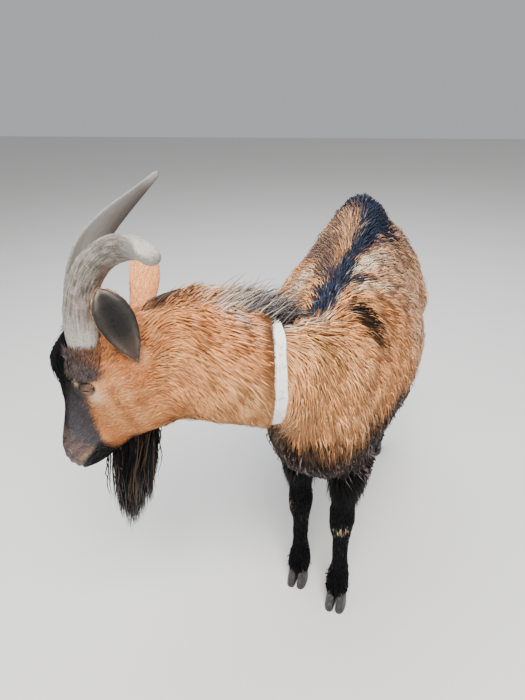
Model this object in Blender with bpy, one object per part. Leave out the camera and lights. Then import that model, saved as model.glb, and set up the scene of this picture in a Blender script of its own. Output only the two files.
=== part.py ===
"""Life-size still model of a horned alpine goat that stands with its head turned to its right.

The goat faces -Y, its left side is +X and the ground is z = 0. Lengths are in metres.
"""

import math
import random

import bmesh
import bpy
from mathutils import Matrix, Vector

# Driving dimensions of the animal
GAP = 0.0003
WITHERS_HEIGHT = 0.866
CROUP_HEIGHT = 0.944
BELLY_HEIGHT = 0.428
KNEE_HEIGHT = 0.278
HOCK_HEIGHT = 0.305
FETLOCK_HEIGHT = 0.095
CORONET_HEIGHT = 0.050
EYE_RADIUS = 0.0145
COLLAR_WIDTH = 0.024
COLLAR_THICKNESS = 0.004
TRUNK_SEAT_DEPTH = 0.022
NECK_SEAT_DEPTH = 0.050
COLLAR_SIDES = 28

# The long coat: how far the bodies lie inside its tips, and the shape of a lock
COAT_INSET = 0.009
ROOT_DEPTH = 0.010
LOCK_STEPS = 4
FLAT_ANGLE = 1.0
LOCK_FLATNESS = 0.26
SEED = 11

# The model's own axes lie this far from the middle of the trunk
ORIGIN_SHIFT = Vector((0.121, 0.103, 0.0))

# Where the limbs stand, in x and y
FORE_LEGS = {
    "right": {"top": (-0.084, -0.205), "knee": (-0.057, -0.251), "toe": (-0.059, -0.283)},
    "left": {"top": (0.084, -0.225), "knee": (0.058, -0.291), "toe": (0.057, -0.329)},
}
HIND_LEGS = {
    "right": {"top": (-0.112, 0.290), "hock": (-0.100, 0.415), "toe": (-0.102, 0.360)},
    "left": {"top": (0.108, 0.290), "hock": (0.084, 0.405), "toe": (0.080, 0.350)},
}
FORE_CUT_HEIGHT = 0.425
HIND_CUT_HEIGHT = 0.455

# Pose of the head: its origin is the poll, its axes run to the muzzle, the forehead and its left
POLL = Vector((-0.335, -0.515, 0.893))
HEAD_YAW = math.radians(54)
HEAD_PITCH = math.radians(53)
HEAD_ROLL = math.radians(-6)

# Neck: the collar sits where the neck leaves the trunk, and the head starts behind the ears
COLLAR_CENTRE = Vector((-0.0818, -0.4003, 0.7627))
COLLAR_AXIS = Vector((-0.8895, -0.4533, 0.0579)).normalized()
NECK_NARROWEST = Vector((-0.070, -0.406, 0.752))
HEAD_CUT_POINT = Vector((-0.252, -0.478, 0.815))
HEAD_CUT_NORMAL = Vector((-0.925, -0.360, 0.120)).normalized()

# Trunk sections: y, top z, bottom z, half width, z of the widest point
TRUNK = (
    (-0.425, 0.700, 0.560, 0.045, 0.630),
    (-0.400, 0.765, 0.505, 0.085, 0.630),
    (-0.350, 0.820, 0.455, 0.118, 0.620),
    (-0.280, 0.852, 0.435, 0.145, 0.610),
    (-0.200, WITHERS_HEIGHT - 0.004, 0.432, 0.166, 0.620),
    (-0.100, 0.858, 0.430, 0.194, 0.620),
    (0.020, 0.862, BELLY_HEIGHT - 0.003, 0.210, 0.640),
    (0.126, 0.882, BELLY_HEIGHT + 0.004, 0.198, 0.645),
    (0.220, 0.924, 0.462, 0.170, 0.650),
    (0.300, CROUP_HEIGHT, 0.505, 0.146, 0.680),
    (0.370, 0.930, 0.565, 0.122, 0.715),
    (0.420, 0.880, 0.640, 0.095, 0.750),
    (0.445, 0.830, 0.700, 0.045, 0.760),
)
RUMP_SLOPE = 0.30
RUMP_SHIFT = -0.010

# Neck sections: centre, half width, reach above the centre, reach below it
NECK = (
    (Vector((0.030, -0.235, 0.660)), 0.105, 0.150, 0.160),
    (Vector((-0.018, -0.335, 0.722)), 0.105, 0.122, 0.135),
    (NECK_NARROWEST, 0.090, 0.100, 0.106),
    (Vector((-0.128, -0.434, 0.772)), 0.092, 0.122, 0.124),
    (Vector((-0.190, -0.456, 0.795)), 0.094, 0.136, 0.138),
    (Vector((-0.250, -0.477, 0.812)), 0.092, 0.132, 0.138),
    (Vector((-0.305, -0.498, 0.822)), 0.082, 0.100, 0.112),
)

# Head sections: distance ahead of the poll, top, bottom, half width, height of the widest point
SKULL = (
    (-0.050, -0.055, -0.150, 0.045, -0.100),
    (-0.020, -0.008, -0.178, 0.064, -0.085),
    (0.020, 0.032, -0.188, 0.069, -0.070),
    (0.060, 0.056, -0.192, 0.072, -0.055),
    (0.100, 0.066, -0.190, 0.073, -0.040),
    (0.135, 0.056, -0.182, 0.068, -0.045),
    (0.165, 0.032, -0.168, 0.058, -0.060),
    (0.195, 0.010, -0.150, 0.049, -0.070),
    (0.225, -0.004, -0.136, 0.042, -0.072),
    (0.255, -0.016, -0.124, 0.038, -0.070),
    (0.280, -0.028, -0.112, 0.035, -0.070),
    (0.297, -0.044, -0.100, 0.026, -0.072),
    (0.305, -0.060, -0.088, 0.012, -0.074),
)

# Horn centrelines as cubic curves in the head's axes, for the left and for the right horn
HORN_ROOT = Vector((0.052, 0.042, 0.041))
HORNS = {
    "left": (Vector((-0.083, 0.143, 0.045)), Vector((-0.167, 0.061, 0.090)), Vector((-0.189, 0.067, 0.330))),
    "right": (Vector((-0.099, 0.136, 0.040)), Vector((-0.106, 0.089, 0.096)), Vector((-0.245, 0.028, 0.340))),
}
HORN_DEPTH = 0.061
HORN_BREADTH = 0.040
HORN_TAPER = {"left": 0.52, "right": 0.80}
HORN_RINGS = 18
HORN_SIDES = 8

# Ears: notch, tip and the way the cup opens, in the head's axes with the left ear's signs
EARS = {
    "left": (Vector((0.030, -0.052, 0.066)), Vector((-0.075, 0.078, 0.132)), Vector((0.10, -0.28, 0.95))),
    "right": (Vector((-0.022, -0.036, 0.062)), Vector((-0.104, -0.008, 0.190)), Vector((1.00, -0.10, 0.50))),
}
EAR_WIDTH = 0.066
EAR_THICKNESS = 0.0035

# Points of the face, in the head's axes on the left side
EYE = Vector((0.126, -0.004, 0.0570))
EYE_SLIT = Vector((-0.60, -0.80, 0.0))
EYE_UP = Vector((-0.80, 0.60, 0.0))
MOUTH_CORNER = Vector((0.250, -0.088, 0.0))
MOUTH_FRONT = Vector((0.312, -0.078, 0.0))
BEARD_FRONT = Vector((0.254, -0.117, 0.0))
BEARD_BACK = Vector((0.180, -0.155, 0.0))
BEARD_FALL = 0.228
BEARD_TIP_SHARE = 0.98
BEARD_LOCKS = 16
NOSTRIL_FRONT = Vector((0.296, -0.052, 0.012))
NOSTRIL_BACK = Vector((0.276, -0.040, 0.028))

# Tail path and sizes: point, half width, half thickness
TAIL = (
    (Vector((0.0, 0.400, 0.846)), 0.030, 0.022),
    (Vector((0.0, 0.452, 0.868)), 0.026, 0.018),
    (Vector((0.0, 0.492, 0.862)), 0.030, 0.017),
    (Vector((0.0, 0.525, 0.830)), 0.028, 0.014),
    (Vector((0.0, 0.545, 0.785)), 0.014, 0.008),
)

# Colour, roughness
MATERIALS = {
    "coat_tan": ((0.46, 0.24, 0.12), 0.9),
    "coat_black": ((0.03, 0.028, 0.03), 0.9),
    "horn": ((0.20, 0.18, 0.155), 0.6),
    "hoof": ((0.10, 0.095, 0.09), 0.55),
    "eye": ((0.03, 0.02, 0.012), 0.12),
    "collar": ((0.50, 0.50, 0.44), 0.7),
}


def head_matrix():
    """Matrix from the head's axes (ahead, up, left) to the model's."""
    flat = Vector((-math.sin(HEAD_YAW), -math.cos(HEAD_YAW), 0.0))
    up = Vector((0.0, 0.0, 1.0))
    left = up.cross(flat)
    ahead = math.cos(HEAD_PITCH) * flat - math.sin(HEAD_PITCH) * up
    crown = math.sin(HEAD_PITCH) * flat + math.cos(HEAD_PITCH) * up
    top = math.cos(HEAD_ROLL) * crown + math.sin(HEAD_ROLL) * left
    side = math.cos(HEAD_ROLL) * left - math.sin(HEAD_ROLL) * crown
    turn = Matrix((ahead, top, side)).transposed().to_4x4()
    return Matrix.Translation(POLL) @ turn


HEAD = head_matrix()


def clear_scene():
    for item in list(bpy.data.objects):
        bpy.data.objects.remove(item)


def material(name):
    found = bpy.data.materials.get(name)
    if found:
        return found
    colour, roughness = MATERIALS[name]
    made = bpy.data.materials.new(name)
    made.use_nodes = True
    shader = made.node_tree.nodes["Principled BSDF"]
    shader.inputs["Base Color"].default_value = (*colour, 1.0)
    shader.inputs["Roughness"].default_value = roughness
    shader.inputs["Metallic"].default_value = 0.0
    return made


def new_object(name, bm):
    bm.normal_update()
    bmesh.ops.recalc_face_normals(bm, faces=bm.faces)
    mesh = bpy.data.meshes.new(name)
    bm.to_mesh(mesh)
    bm.free()
    made = bpy.data.objects.new(name, mesh)
    bpy.context.scene.collection.objects.link(made)
    return made


def signed_power(value, power):
    return math.copysign(abs(value) ** power, value)


def loft(bm, rings):
    """Joins rings of equal count into one closed body. Each ring is a list of points."""
    loops = []
    for points in rings:
        made = bmesh.ops.create_circle(bm, cap_ends=False, segments=len(points), radius=1.0)
        for vertex, point in zip(made["verts"], points):
            vertex.co = point
        loops.append(list({edge for vertex in made["verts"] for edge in vertex.link_edges}))
    for lower, upper in zip(loops, loops[1:]):
        bmesh.ops.bridge_loops(bm, edges=lower + upper)
    for end in (loops[0], loops[-1]):
        bmesh.ops.contextual_create(bm, geom=end)


def section(centre, side, up, half_width, above, below, sides=16, power=1.0, below_power=None):
    """Points of one ring, egg-shaped where above and below differ. A power under 1 makes it fuller."""
    points = []
    for step in range(sides):
        angle = 2 * math.pi * step / sides
        bend = below_power if below_power and math.sin(angle) < 0 else power
        across = signed_power(math.cos(angle), bend)
        rise = signed_power(math.sin(angle), bend)
        points.append(centre + side * half_width * across + up * (above if rise > 0 else below) * rise)
    return points


def path_frames(points, up_hint):
    """Side and up directions of the ring at each point of a path."""
    frames = []
    for index, _ in enumerate(points):
        before = points[max(index - 1, 0)]
        after = points[min(index + 1, len(points) - 1)]
        along = (after - before).normalized()
        side = along.cross(up_hint).normalized()
        frames.append((side, side.cross(along).normalized()))
    return frames


def tube(bm, points, sizes, up_hint, sides=12):
    """Closed body along a path. Each size is half width, reach above and reach below."""
    frames = path_frames(points, up_hint)
    rings = []
    for point, (side, up), (width, above, below) in zip(points, frames, sizes):
        rings.append(section(point, side, up, width, above, below, sides))
    loft(bm, rings)


def evaluate(target):
    """Applies the modifiers of an object."""
    bpy.context.view_layer.update()
    graph = bpy.context.evaluated_depsgraph_get()
    mesh = bpy.data.meshes.new_from_object(target.evaluated_get(graph))
    target.modifiers.clear()
    target.data = mesh


def remove(item):
    bpy.data.objects.remove(item)


def boolean(target, other, operation, keep_other=False):
    modifier = target.modifiers.new(operation, "BOOLEAN")
    modifier.operation = operation
    modifier.object = other
    modifier.solver = "MANIFOLD"
    evaluate(target)
    if not keep_other:
        remove(other)


def fuse(target, pieces):
    """One union of a node with all the closed pieces that grow from it."""
    group = bpy.data.collections.new("pieces")
    bpy.context.scene.collection.children.link(group)
    for piece in pieces:
        bpy.context.scene.collection.objects.unlink(piece)
        group.objects.link(piece)
    modifier = target.modifiers.new("UNION", "BOOLEAN")
    modifier.operation = "UNION"
    modifier.operand_type = "COLLECTION"
    modifier.collection = group
    modifier.solver = "MANIFOLD"
    evaluate(target)
    for piece in pieces:
        remove(piece)
    bpy.data.collections.remove(group)


def islands(bm):
    """The separate surfaces of a mesh, as lists of faces."""
    left = set(bm.faces)
    found = []
    while left:
        stack = [left.pop()]
        surface = []
        while stack:
            face = stack.pop()
            surface.append(face)
            for edge in face.edges:
                for other in edge.link_faces:
                    if other in left:
                        left.remove(other)
                        stack.append(other)
        found.append(surface)
    return found


def surface_volume(faces):
    total = 0.0
    for face in faces:
        corners = [loop.vert.co for loop in face.loops]
        for second, third in zip(corners[1:], corners[2:]):
            total += corners[0].dot(second.cross(third)) / 6.0
    return total


def keep_largest(target):
    """Keeps the largest closed surface, so that no scrap or sealed hollow stays."""
    bm = bmesh.new()
    bm.from_mesh(target.data)
    found = sorted(islands(bm), key=surface_volume, reverse=True)
    spare = [face for surface in found[1:] for face in surface]
    bmesh.ops.delete(bm, geom=spare, context="FACES")
    bmesh.ops.triangulate(bm, faces=bm.faces)
    bm.to_mesh(target.data)
    bm.free()


def inflated(source, distance=GAP):
    """A copy of a body whose surface lies a little further out."""
    copy = source.copy()
    copy.data = source.data.copy()
    bpy.context.scene.collection.objects.link(copy)
    bm = bmesh.new()
    bm.from_mesh(copy.data)
    bm.normal_update()
    moves = [(vertex, vertex.normal * distance * vertex.calc_shell_factor()) for vertex in bm.verts]
    for vertex, move in moves:
        vertex.co += move
    bm.to_mesh(copy.data)
    bm.free()
    return copy


def remeshed(name, bm, voxel, smoothing, triangles):
    """Melts overlapping closed bodies into one smooth body with few triangles."""
    made = new_object(name, bm)
    remesh = made.modifiers.new("Remesh", "REMESH")
    remesh.mode = "VOXEL"
    remesh.voxel_size = voxel
    smooth = made.modifiers.new("Smooth", "SMOOTH")
    smooth.factor = 0.5
    smooth.iterations = smoothing
    evaluate(made)
    keep_largest(made)
    thin = made.modifiers.new("Decimate", "DECIMATE")
    thin.ratio = triangles / len(made.data.polygons)
    thin.use_collapse_triangulate = True
    evaluate(made)
    return made


def box_between(name, low, high):
    """A block with its corners at the two points."""
    bm = bmesh.new()
    bmesh.ops.create_cube(bm, size=1.0)
    for vertex in bm.verts:
        vertex.co = Vector(
            upper if side > 0 else lower for side, lower, upper in zip(vertex.co, low, high)
        )
    return new_object(name, bm)


def half_space(name, point, normal, reach=0.9, width=0.45):
    """A block that starts at a plane and runs along its normal."""
    bm = bmesh.new()
    bmesh.ops.create_cube(bm, size=1.0)
    up = Vector((0.0, 0.0, 1.0))
    side = normal.cross(up).normalized()
    rise = side.cross(normal)
    for vertex in bm.verts:
        across, along, lift = vertex.co
        flat = side * across * 2 * width + rise * lift * 2 * width
        vertex.co = point + flat + normal * (along + 0.5) * reach
    return new_object(name, bm)


def copy_of(source, name):
    made = source.copy()
    made.data = source.data.copy()
    made.name = name
    bpy.context.scene.collection.objects.link(made)
    return made


def finish(target, name, slot):
    """Names a node, gives it its material and shades it."""
    flat = target.modifiers.new("Flat", "DECIMATE")
    flat.decimate_type = "DISSOLVE"
    flat.angle_limit = math.radians(FLAT_ANGLE)
    evaluate(target)
    keep_largest(target)
    target.name = name
    target.data.name = name
    target.data.materials.clear()
    target.data.materials.append(material(slot))
    target.data.shade_smooth()
    target.data.set_sharp_from_angle(angle=math.radians(40))
    return target


# Trunk and neck


def add_trunk(bm):
    side = Vector((1.0, 0.0, 0.0))
    up = Vector((0.0, 0.0, 1.0))
    rings = []
    for y, top, bottom, half_width, widest in TRUNK:
        rump = min(max((y - 0.06) / 0.16, 0.0), 1.0)
        centre = Vector((RUMP_SHIFT * rump, y, widest))
        above = top - widest - COAT_INSET
        below = widest - bottom - COAT_INSET
        power = 1.0 + RUMP_SLOPE * rump
        rings.append(section(centre, side, up, half_width - COAT_INSET, above, below, 24, power, 0.85))
    loft(bm, rings)


def add_thigh(bm, sign):
    points = [
        Vector((sign * 0.062, 0.270, 0.840)),
        Vector((sign * 0.094, 0.290, 0.740)),
        Vector((sign * 0.120, 0.292, 0.640)),
        Vector((sign * 0.118, 0.285, 0.550)),
        Vector((sign * 0.112, 0.285, 0.480)),
    ]
    sizes = [(0.050, 0.100, 0.100), (0.074, 0.140, 0.130), (0.078, 0.150, 0.130),
             (0.066, 0.128, 0.105), (0.054, 0.100, 0.080)]
    tube(bm, points, sizes, Vector((0.0, 1.0, 0.0)), 16)


def add_neck(bm, first=0):
    rows = NECK[first:]
    sizes = []
    for centre, *reaches in rows:
        inset = 0.0 if centre is NECK_NARROWEST else COAT_INSET
        sizes.append([reach - inset for reach in reaches])
    tube(bm, [row[0] for row in rows], sizes, Vector((0.0, 0.0, 1.0)), 20)


# Legs


def fore_rows(spot):
    """Centres and half sizes down a foreleg, from the shoulder to the hoof's upper edge."""
    top = spot["top"]
    knee = spot["knee"]
    toe = spot["toe"]
    low = (knee[0], knee[1] - 0.003)
    crown = (toe[0], toe[1] + 0.018)

    def between(first, second, share):
        return [start + (end - start) * share for start, end in zip(first, second)]

    return (
        (0.580, top, 0.052, 0.085),
        (0.500, between(top, knee, 0.30), 0.046, 0.068),
        (0.440, between(top, knee, 0.55), 0.041, 0.054),
        (0.390, between(top, knee, 0.75), 0.035, 0.042),
        (0.340, between(top, knee, 0.92), 0.030, 0.034),
        (0.305, knee, 0.028, 0.030),
        (KNEE_HEIGHT, knee, 0.029, 0.031),
        (0.240, knee, 0.0245, 0.0255),
        (0.190, knee, 0.0205, 0.022),
        (0.130, low, 0.0210, 0.0225),
        (FETLOCK_HEIGHT, low, 0.0265, 0.0285),
        (0.070, between(low, crown, 0.5), 0.0260, 0.0275),
        (CORONET_HEIGHT + GAP, crown, 0.0265, 0.0290),
    )


def hind_rows(spot):
    """Centres and half sizes down a hind leg, from the thigh to the hoof's upper edge."""
    top = spot["top"]
    hock = spot["hock"]
    toe = spot["toe"]
    low = (hock[0], hock[1] - 0.008)
    crown = (toe[0], toe[1] + 0.020)

    def between(first, second, share, ahead=0.0):
        x, y = [start + (end - start) * share for start, end in zip(first, second)]
        return x, y - ahead

    return (
        (0.600, top, 0.066, 0.115),
        (0.520, between(top, hock, 0.10, 0.012), 0.056, 0.096),
        (0.460, between(top, hock, 0.34, 0.016), 0.046, 0.074),
        (0.410, between(top, hock, 0.62, 0.014), 0.037, 0.054),
        (0.360, between(top, hock, 0.86, 0.006), 0.029, 0.041),
        (HOCK_HEIGHT, hock, 0.027, 0.036),
        (0.260, hock, 0.0240, 0.030),
        (0.200, hock, 0.0210, 0.024),
        (0.130, low, 0.0210, 0.0235),
        (FETLOCK_HEIGHT, low, 0.0265, 0.029),
        (0.070, between(low, crown, 0.5), 0.0260, 0.0275),
        (CORONET_HEIGHT + GAP, crown, 0.0265, 0.0290),
    )


def leg_rings(rows, sides=12):
    rings = []
    for height, (x, y), half_width, half_depth in rows:
        centre = Vector((x, y, height))
        side = Vector((1, 0, 0))
        ahead = Vector((0, 1, 0))
        rings.append(section(centre, side, ahead, half_width, half_depth, half_depth, sides))
    return rings


def add_leg_root(bm, rows):
    """The upper end of a leg, down to just past the cut, for melting into the trunk."""
    loft(bm, leg_rings(rows[:4], 16))


def leg_node(name, rows, cut_height, rng):
    bm = bmesh.new()
    loft(bm, leg_rings(rows))
    plane = bmesh.ops.bisect_plane(
        bm,
        geom=list(bm.verts) + list(bm.edges) + list(bm.faces),
        plane_co=(0.0, 0.0, cut_height),
        plane_no=(0.0, 0.0, 1.0),
        clear_outer=True,
    )
    rim = [item for item in plane["geom_cut"] if isinstance(item, bmesh.types.BMEdge)]
    bmesh.ops.contextual_create(bm, geom=rim)
    made = new_object(name, bm)
    fuse(made, leg_locks(made, rows, rng, "fore" in name))
    boolean(made, leg_block("room", rows, cut_height, 0.0), "INTERSECT")
    return finish(made, name, "coat_black")


def hoof(name, toe):
    """A cloven hoof with a flat sole at z = 0 under each claw."""
    rows = (
        (CORONET_HEIGHT, 0.018, 0.0235, 0.026, 0.026),
        (0.030, 0.014, 0.0262, 0.029, 0.030),
        (0.0, 0.006, 0.0285, 0.034, 0.033),
    )
    bm = bmesh.new()
    rings = []
    for height, back, half_width, ahead, behind in rows:
        centre = Vector((toe[0], toe[1] + back, height))
        side = Vector((1, 0, 0))
        front = Vector((0, -1, 0))
        rings.append(section(centre, side, front, half_width, ahead, behind, 14, 0.85))
    loft(bm, rings)
    made = new_object(name, bm)
    boolean(made, cleft(toe), "DIFFERENCE")
    return finish(made, name, "hoof")


def cleft(toe):
    """Wedge that splits the claws, open to the front and below."""
    bm = bmesh.new()
    front = toe[1] - 0.045
    back = toe[1] + 0.016
    outline = ((front, -0.01), (back, -0.01), (back - 0.008, 0.020), (front, 0.047))
    half_widths = (0.0045, 0.0015, 0.0012, 0.0030)
    sides = []
    for sign in (-1, 1):
        sides.append([bm.verts.new((toe[0] + sign * w, y, z)) for (y, z), w in zip(outline, half_widths)])
    bm.faces.new(sides[0])
    bm.faces.new(sides[1][::-1])
    for index in range(4):
        follow = (index + 1) % 4
        bm.faces.new((sides[0][index], sides[0][follow], sides[1][follow], sides[1][index]))
    bmesh.ops.triangulate(bm, faces=bm.faces)
    return new_object("cleft", bm)


# Head


def add_skull(bm):
    side = HEAD.to_3x3() @ Vector((0, 0, 1))
    up = HEAD.to_3x3() @ Vector((0, 1, 0))
    rings = []
    for ahead, top, bottom, half_width, widest in SKULL:
        centre = HEAD @ Vector((ahead, widest, 0))
        rings.append(section(centre, side, up, half_width, top - widest, widest - bottom, 20))
    loft(bm, rings)


def ball(name, centre, radius, stretch=(1, 1, 1), divisions=(10, 7)):
    """Ellipsoid in the head's axes."""
    bm = bmesh.new()
    bmesh.ops.create_uvsphere(bm, u_segments=divisions[0], v_segments=divisions[1], radius=radius)
    for vertex in bm.verts:
        local = Vector(c * s for c, s in zip(vertex.co, stretch))
        vertex.co = HEAD @ (centre + local)
    return new_object(name, bm)


def surface_points(target, points, outward):
    """Moves points of the head's axes along a direction to the outer surface of a body."""
    found = []
    for point, direction in zip(points, outward):
        start = HEAD @ (point + direction * 0.12)
        aim = HEAD.to_3x3() @ -direction
        hit, place, normal, _ = target.ray_cast(start, aim, distance=0.2)
        if hit:
            found.append((place, normal))
    return found


def rope(name, places, radius, sides=6):
    """A round strand through surface places, thinner at both ends."""
    points = [place for place, _ in places]
    count = len(points) - 1
    sizes = []
    for index in range(len(points)):
        share = math.sin(math.pi * (index + 0.35) / (count + 0.7)) ** 0.5
        sizes.append((radius * share, radius * share, radius * share))
    bm = bmesh.new()
    tube(bm, points, sizes, HEAD.to_3x3() @ Vector((0.2, 1, 0.1)), sides)
    return new_object(name, bm)


def mouth_places(target, lift=0.0, steps=12):
    """Places on the muzzle from the left corner of the mouth round the front to the right one."""
    points = []
    outward = []
    for step in range(steps + 1):
        turn = math.pi * step / steps - math.pi / 2
        ahead = math.cos(turn)
        across = -math.sin(turn)
        share = ahead ** 0.8
        points.append(MOUTH_CORNER.lerp(MOUTH_FRONT, share) + Vector((-0.02, lift, 0.0)))
        outward.append(Vector((max(ahead - 0.15, 0.0), 0.0, across)).normalized())
    return surface_points(target, points, outward)


def add_lips(head):
    """Lips as two soft rims with the line of the mouth between them."""
    rims = [rope("lip", mouth_places(head, lift), 0.0042) for lift in (0.0048, -0.0048)]
    line = rope("mouth_line", mouth_places(head), 0.0024)
    fuse(head, rims)
    boolean(head, line, "DIFFERENCE")


def add_nostrils(head):
    for sign in (1, -1):
        mirror = Vector((1, 1, sign))
        ends = [Vector(a * b for a, b in zip(point, mirror)) for point in (NOSTRIL_FRONT, NOSTRIL_BACK)]
        outward = Vector((0.75, 0.35, 0.75 * sign)).normalized()
        offset = Vector((-0.03, -0.012, -0.012 * sign))
        line = [ends[0].lerp(ends[1], step / 4) + offset for step in range(5)]
        places = surface_points(head, line, [outward] * 5)
        wing = [(place + normal * 0.001 + HEAD.to_3x3() @ Vector((-0.003, 0.006, 0)), normal)
                for place, normal in places]
        fuse(head, [rope("nostril_wing", wing, 0.0045)])
        boolean(head, rope("nostril", places, 0.0036), "DIFFERENCE")


def eye_opening(centre, sign):
    """Almond-shaped prism between the lids, through to the eyeball."""
    bm = bmesh.new()
    outline = []
    steps = 8
    for step in range(2 * steps):
        share = step / steps
        upper = step < steps
        along = 1 - 2 * (share if upper else share - 1)
        along = along if upper else -along
        rise = (1 - along * along) * (0.0036 if upper else -0.0030)
        outline.append(EYE_SLIT * along * 0.0125 + EYE_UP * rise)
    rings = []
    for depth, scale in ((0.002, 0.9), (0.030, 1.25)):
        rings.append([HEAD @ (centre + point * scale + Vector((0, 0, sign * depth))) for point in outline])
    loft(bm, rings)
    return new_object("eye_opening", bm)


def add_eyes(head):
    """Lids round two sockets, and an eyeball in each."""
    eyes = []
    for side, sign in (("left", 1), ("right", -1)):
        centre = Vector((EYE.x, EYE.y, EYE.z * sign))
        fuse(head, [ball("lids", centre, EYE_RADIUS + 0.0030, (1.45, 1.15, 0.97), (14, 10))])
        boolean(head, ball("socket", centre, EYE_RADIUS + 2 * GAP), "DIFFERENCE")
        boolean(head, eye_opening(centre, sign), "DIFFERENCE")
        eye = ball("eye", centre, EYE_RADIUS)
        eyes.append(finish(eye, f"eye_{side}", "eye"))
    return eyes


def horn_point(controls, share):
    first, second, third = controls
    rest = 1 - share
    return (HORN_ROOT * rest ** 3 + first * 3 * rest * rest * share
            + second * 3 * rest * share * share + third * share ** 3)


def horn_body(side):
    """A flattened, ringed horn with a ridge along its front edge."""
    sign = 1 if side == "left" else -1
    points = []
    for step in range(HORN_RINGS + 1):
        share = step / HORN_RINGS
        place = horn_point(HORNS[side], share)
        points.append(HEAD @ Vector((place.x, place.y, place.z * sign)))
    start = points[0] + (points[0] - points[1]).normalized() * 0.020
    points.insert(0, start)
    left = HEAD.to_3x3() @ Vector((0, 0, 1))
    rings = []
    for index, (point, (side_way, up_way)) in enumerate(zip(points, path_frames(points, left))):
        share = max(index - 1, 0) / HORN_RINGS
        taper = 1 - HORN_TAPER[side] * share ** 1.9
        ripple = 1 + (0.030 if index % 2 else -0.030) * (1 - share ** 3)
        if index >= len(points) - 1:
            taper *= 0.45
        rings.append(horn_ring(point, side_way, up_way, taper * ripple))
    bm = bmesh.new()
    loft(bm, rings)
    return new_object("horn_" + side, bm)


def horn_ring(point, forward, across, scale):
    points = []
    for step in range(HORN_SIDES):
        angle = 2 * math.pi * step / HORN_SIDES
        keel = 1.10 if step == HORN_SIDES // 2 else 1.0
        reach = forward * math.cos(angle) * HORN_DEPTH / 2 * keel
        points.append(point + (reach + across * math.sin(angle) * HORN_BREADTH / 2) * scale)
    return points


def ear_body(side):
    """A leaf-shaped ear, rolled into a cup that closes towards its root."""
    sign = 1 if side == "left" else -1
    notch, tip, opening = [Vector((v.x, v.y, v.z * sign)) for v in EARS[side]]
    along = (tip - notch).normalized()
    face = (opening - along * opening.dot(along)).normalized()
    across = along.cross(face)
    length = (tip - notch).length
    rings = []
    steps = 9
    for step in range(steps + 1):
        share = step / steps
        half = EAR_WIDTH / 2 * max(math.sin(math.pi * (0.14 + 0.84 * share)) ** 0.8, 0.08)
        roll = math.radians(150 - 100 * share ** 0.7)
        bow = face * 0.010 * math.sin(math.pi * share)
        centre = notch + along * (length * share - 0.012 * (1 - share)) - bow
        rings.append([HEAD @ point for point in ear_ring(centre, across, face, half, roll)])
    bm = bmesh.new()
    loft(bm, rings)
    return new_object("ear_" + side, bm)


def ear_ring(centre, across, face, half, roll, steps=5):
    """Outline of one slice of the ear: an arc of sheet with the cup's inside towards the face."""
    radius = half / math.sin(min(roll / 2, math.pi / 2))
    outer = []
    inner = []
    for step in range(steps + 1):
        angle = roll * (step / steps - 0.5)
        for reach, store in ((radius, outer), (radius - EAR_THICKNESS, inner)):
            middle = centre + face * radius * math.cos(roll / 2)
            store.append(middle + across * reach * math.sin(angle) - face * reach * math.cos(angle))
    return outer + inner[::-1]


# Locks of long hair


def lock(root, out, middle, tip, width):
    """A flat, tapered lock that leaves the surface, passes through its middle and ends in its tip."""
    sunk = root - out * ROOT_DEPTH
    knee = middle * 2 - (sunk + tip) / 2
    points = []
    for step in range(LOCK_STEPS + 1):
        share = step / LOCK_STEPS
        rest = 1 - share
        points.append(sunk * rest * rest + knee * 2 * rest * share + tip * share * share)
    rings = []
    for index, (point, (side, up)) in enumerate(zip(points, path_frames(points, out))):
        share = index / LOCK_STEPS
        half = width / 2 * (0.85 + 0.8 * share) * (1 - share ** 1.5) + 0.0007
        thick = half * LOCK_FLATNESS + 0.0006
        rings.append([point + side * half, point + up * thick, point - side * half, point - up * thick])
    bm = bmesh.new()
    loft(bm, rings)
    bmesh.ops.triangulate(bm, faces=bm.faces)
    return new_object("lock", bm)


def above_surface(target, point, normal, height):
    """The point moved to a height over the surface under it, or left alone where it hangs free."""
    hit, place, _, _ = target.ray_cast(point + normal * 0.06, -normal, distance=0.13)
    return place + normal * height if hit else point


def grow(target, spots):
    """Locks on a body. A spot is an outside point, an aim, a flow, a length, a width and a lift."""
    pieces = []
    for start, aim, flow, length, width, lift in spots:
        hit, place, normal, _ = target.ray_cast(start, aim)
        if not hit:
            continue
        lie = (flow - normal * flow.dot(normal) * 0.85).normalized()
        middle = above_surface(target, place + lie * length * 0.45, normal, lift)
        tip = above_surface(target, place + lie * length, normal, lift * 0.9)
        pieces.append(lock(place, normal, middle, tip, width))
    return pieces


def trunk_spot(rng, y, angle, length, width=0.036, lift=0.010, flow=None):
    """A spot on the trunk at a length and an angle from the spine towards the left side."""
    y += rng.uniform(-0.008, 0.008)
    turn = math.radians(angle + rng.uniform(-3, 3))
    aim = Vector((-math.sin(turn), 0.0, -math.cos(turn)))
    start = Vector((0.0, y, 0.665)) - aim * 0.5
    lean = math.copysign(0.25 * abs(math.sin(turn)), math.sin(turn))
    lie = flow or Vector((lean, 0.62, -0.75 * abs(math.sin(turn)) - 0.05))
    lie = lie + Vector([rng.uniform(-0.12, 0.12) for _ in range(3)])
    return start, aim, lie, length * rng.uniform(0.85, 1.15), width * rng.uniform(0.85, 1.15), lift


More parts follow.
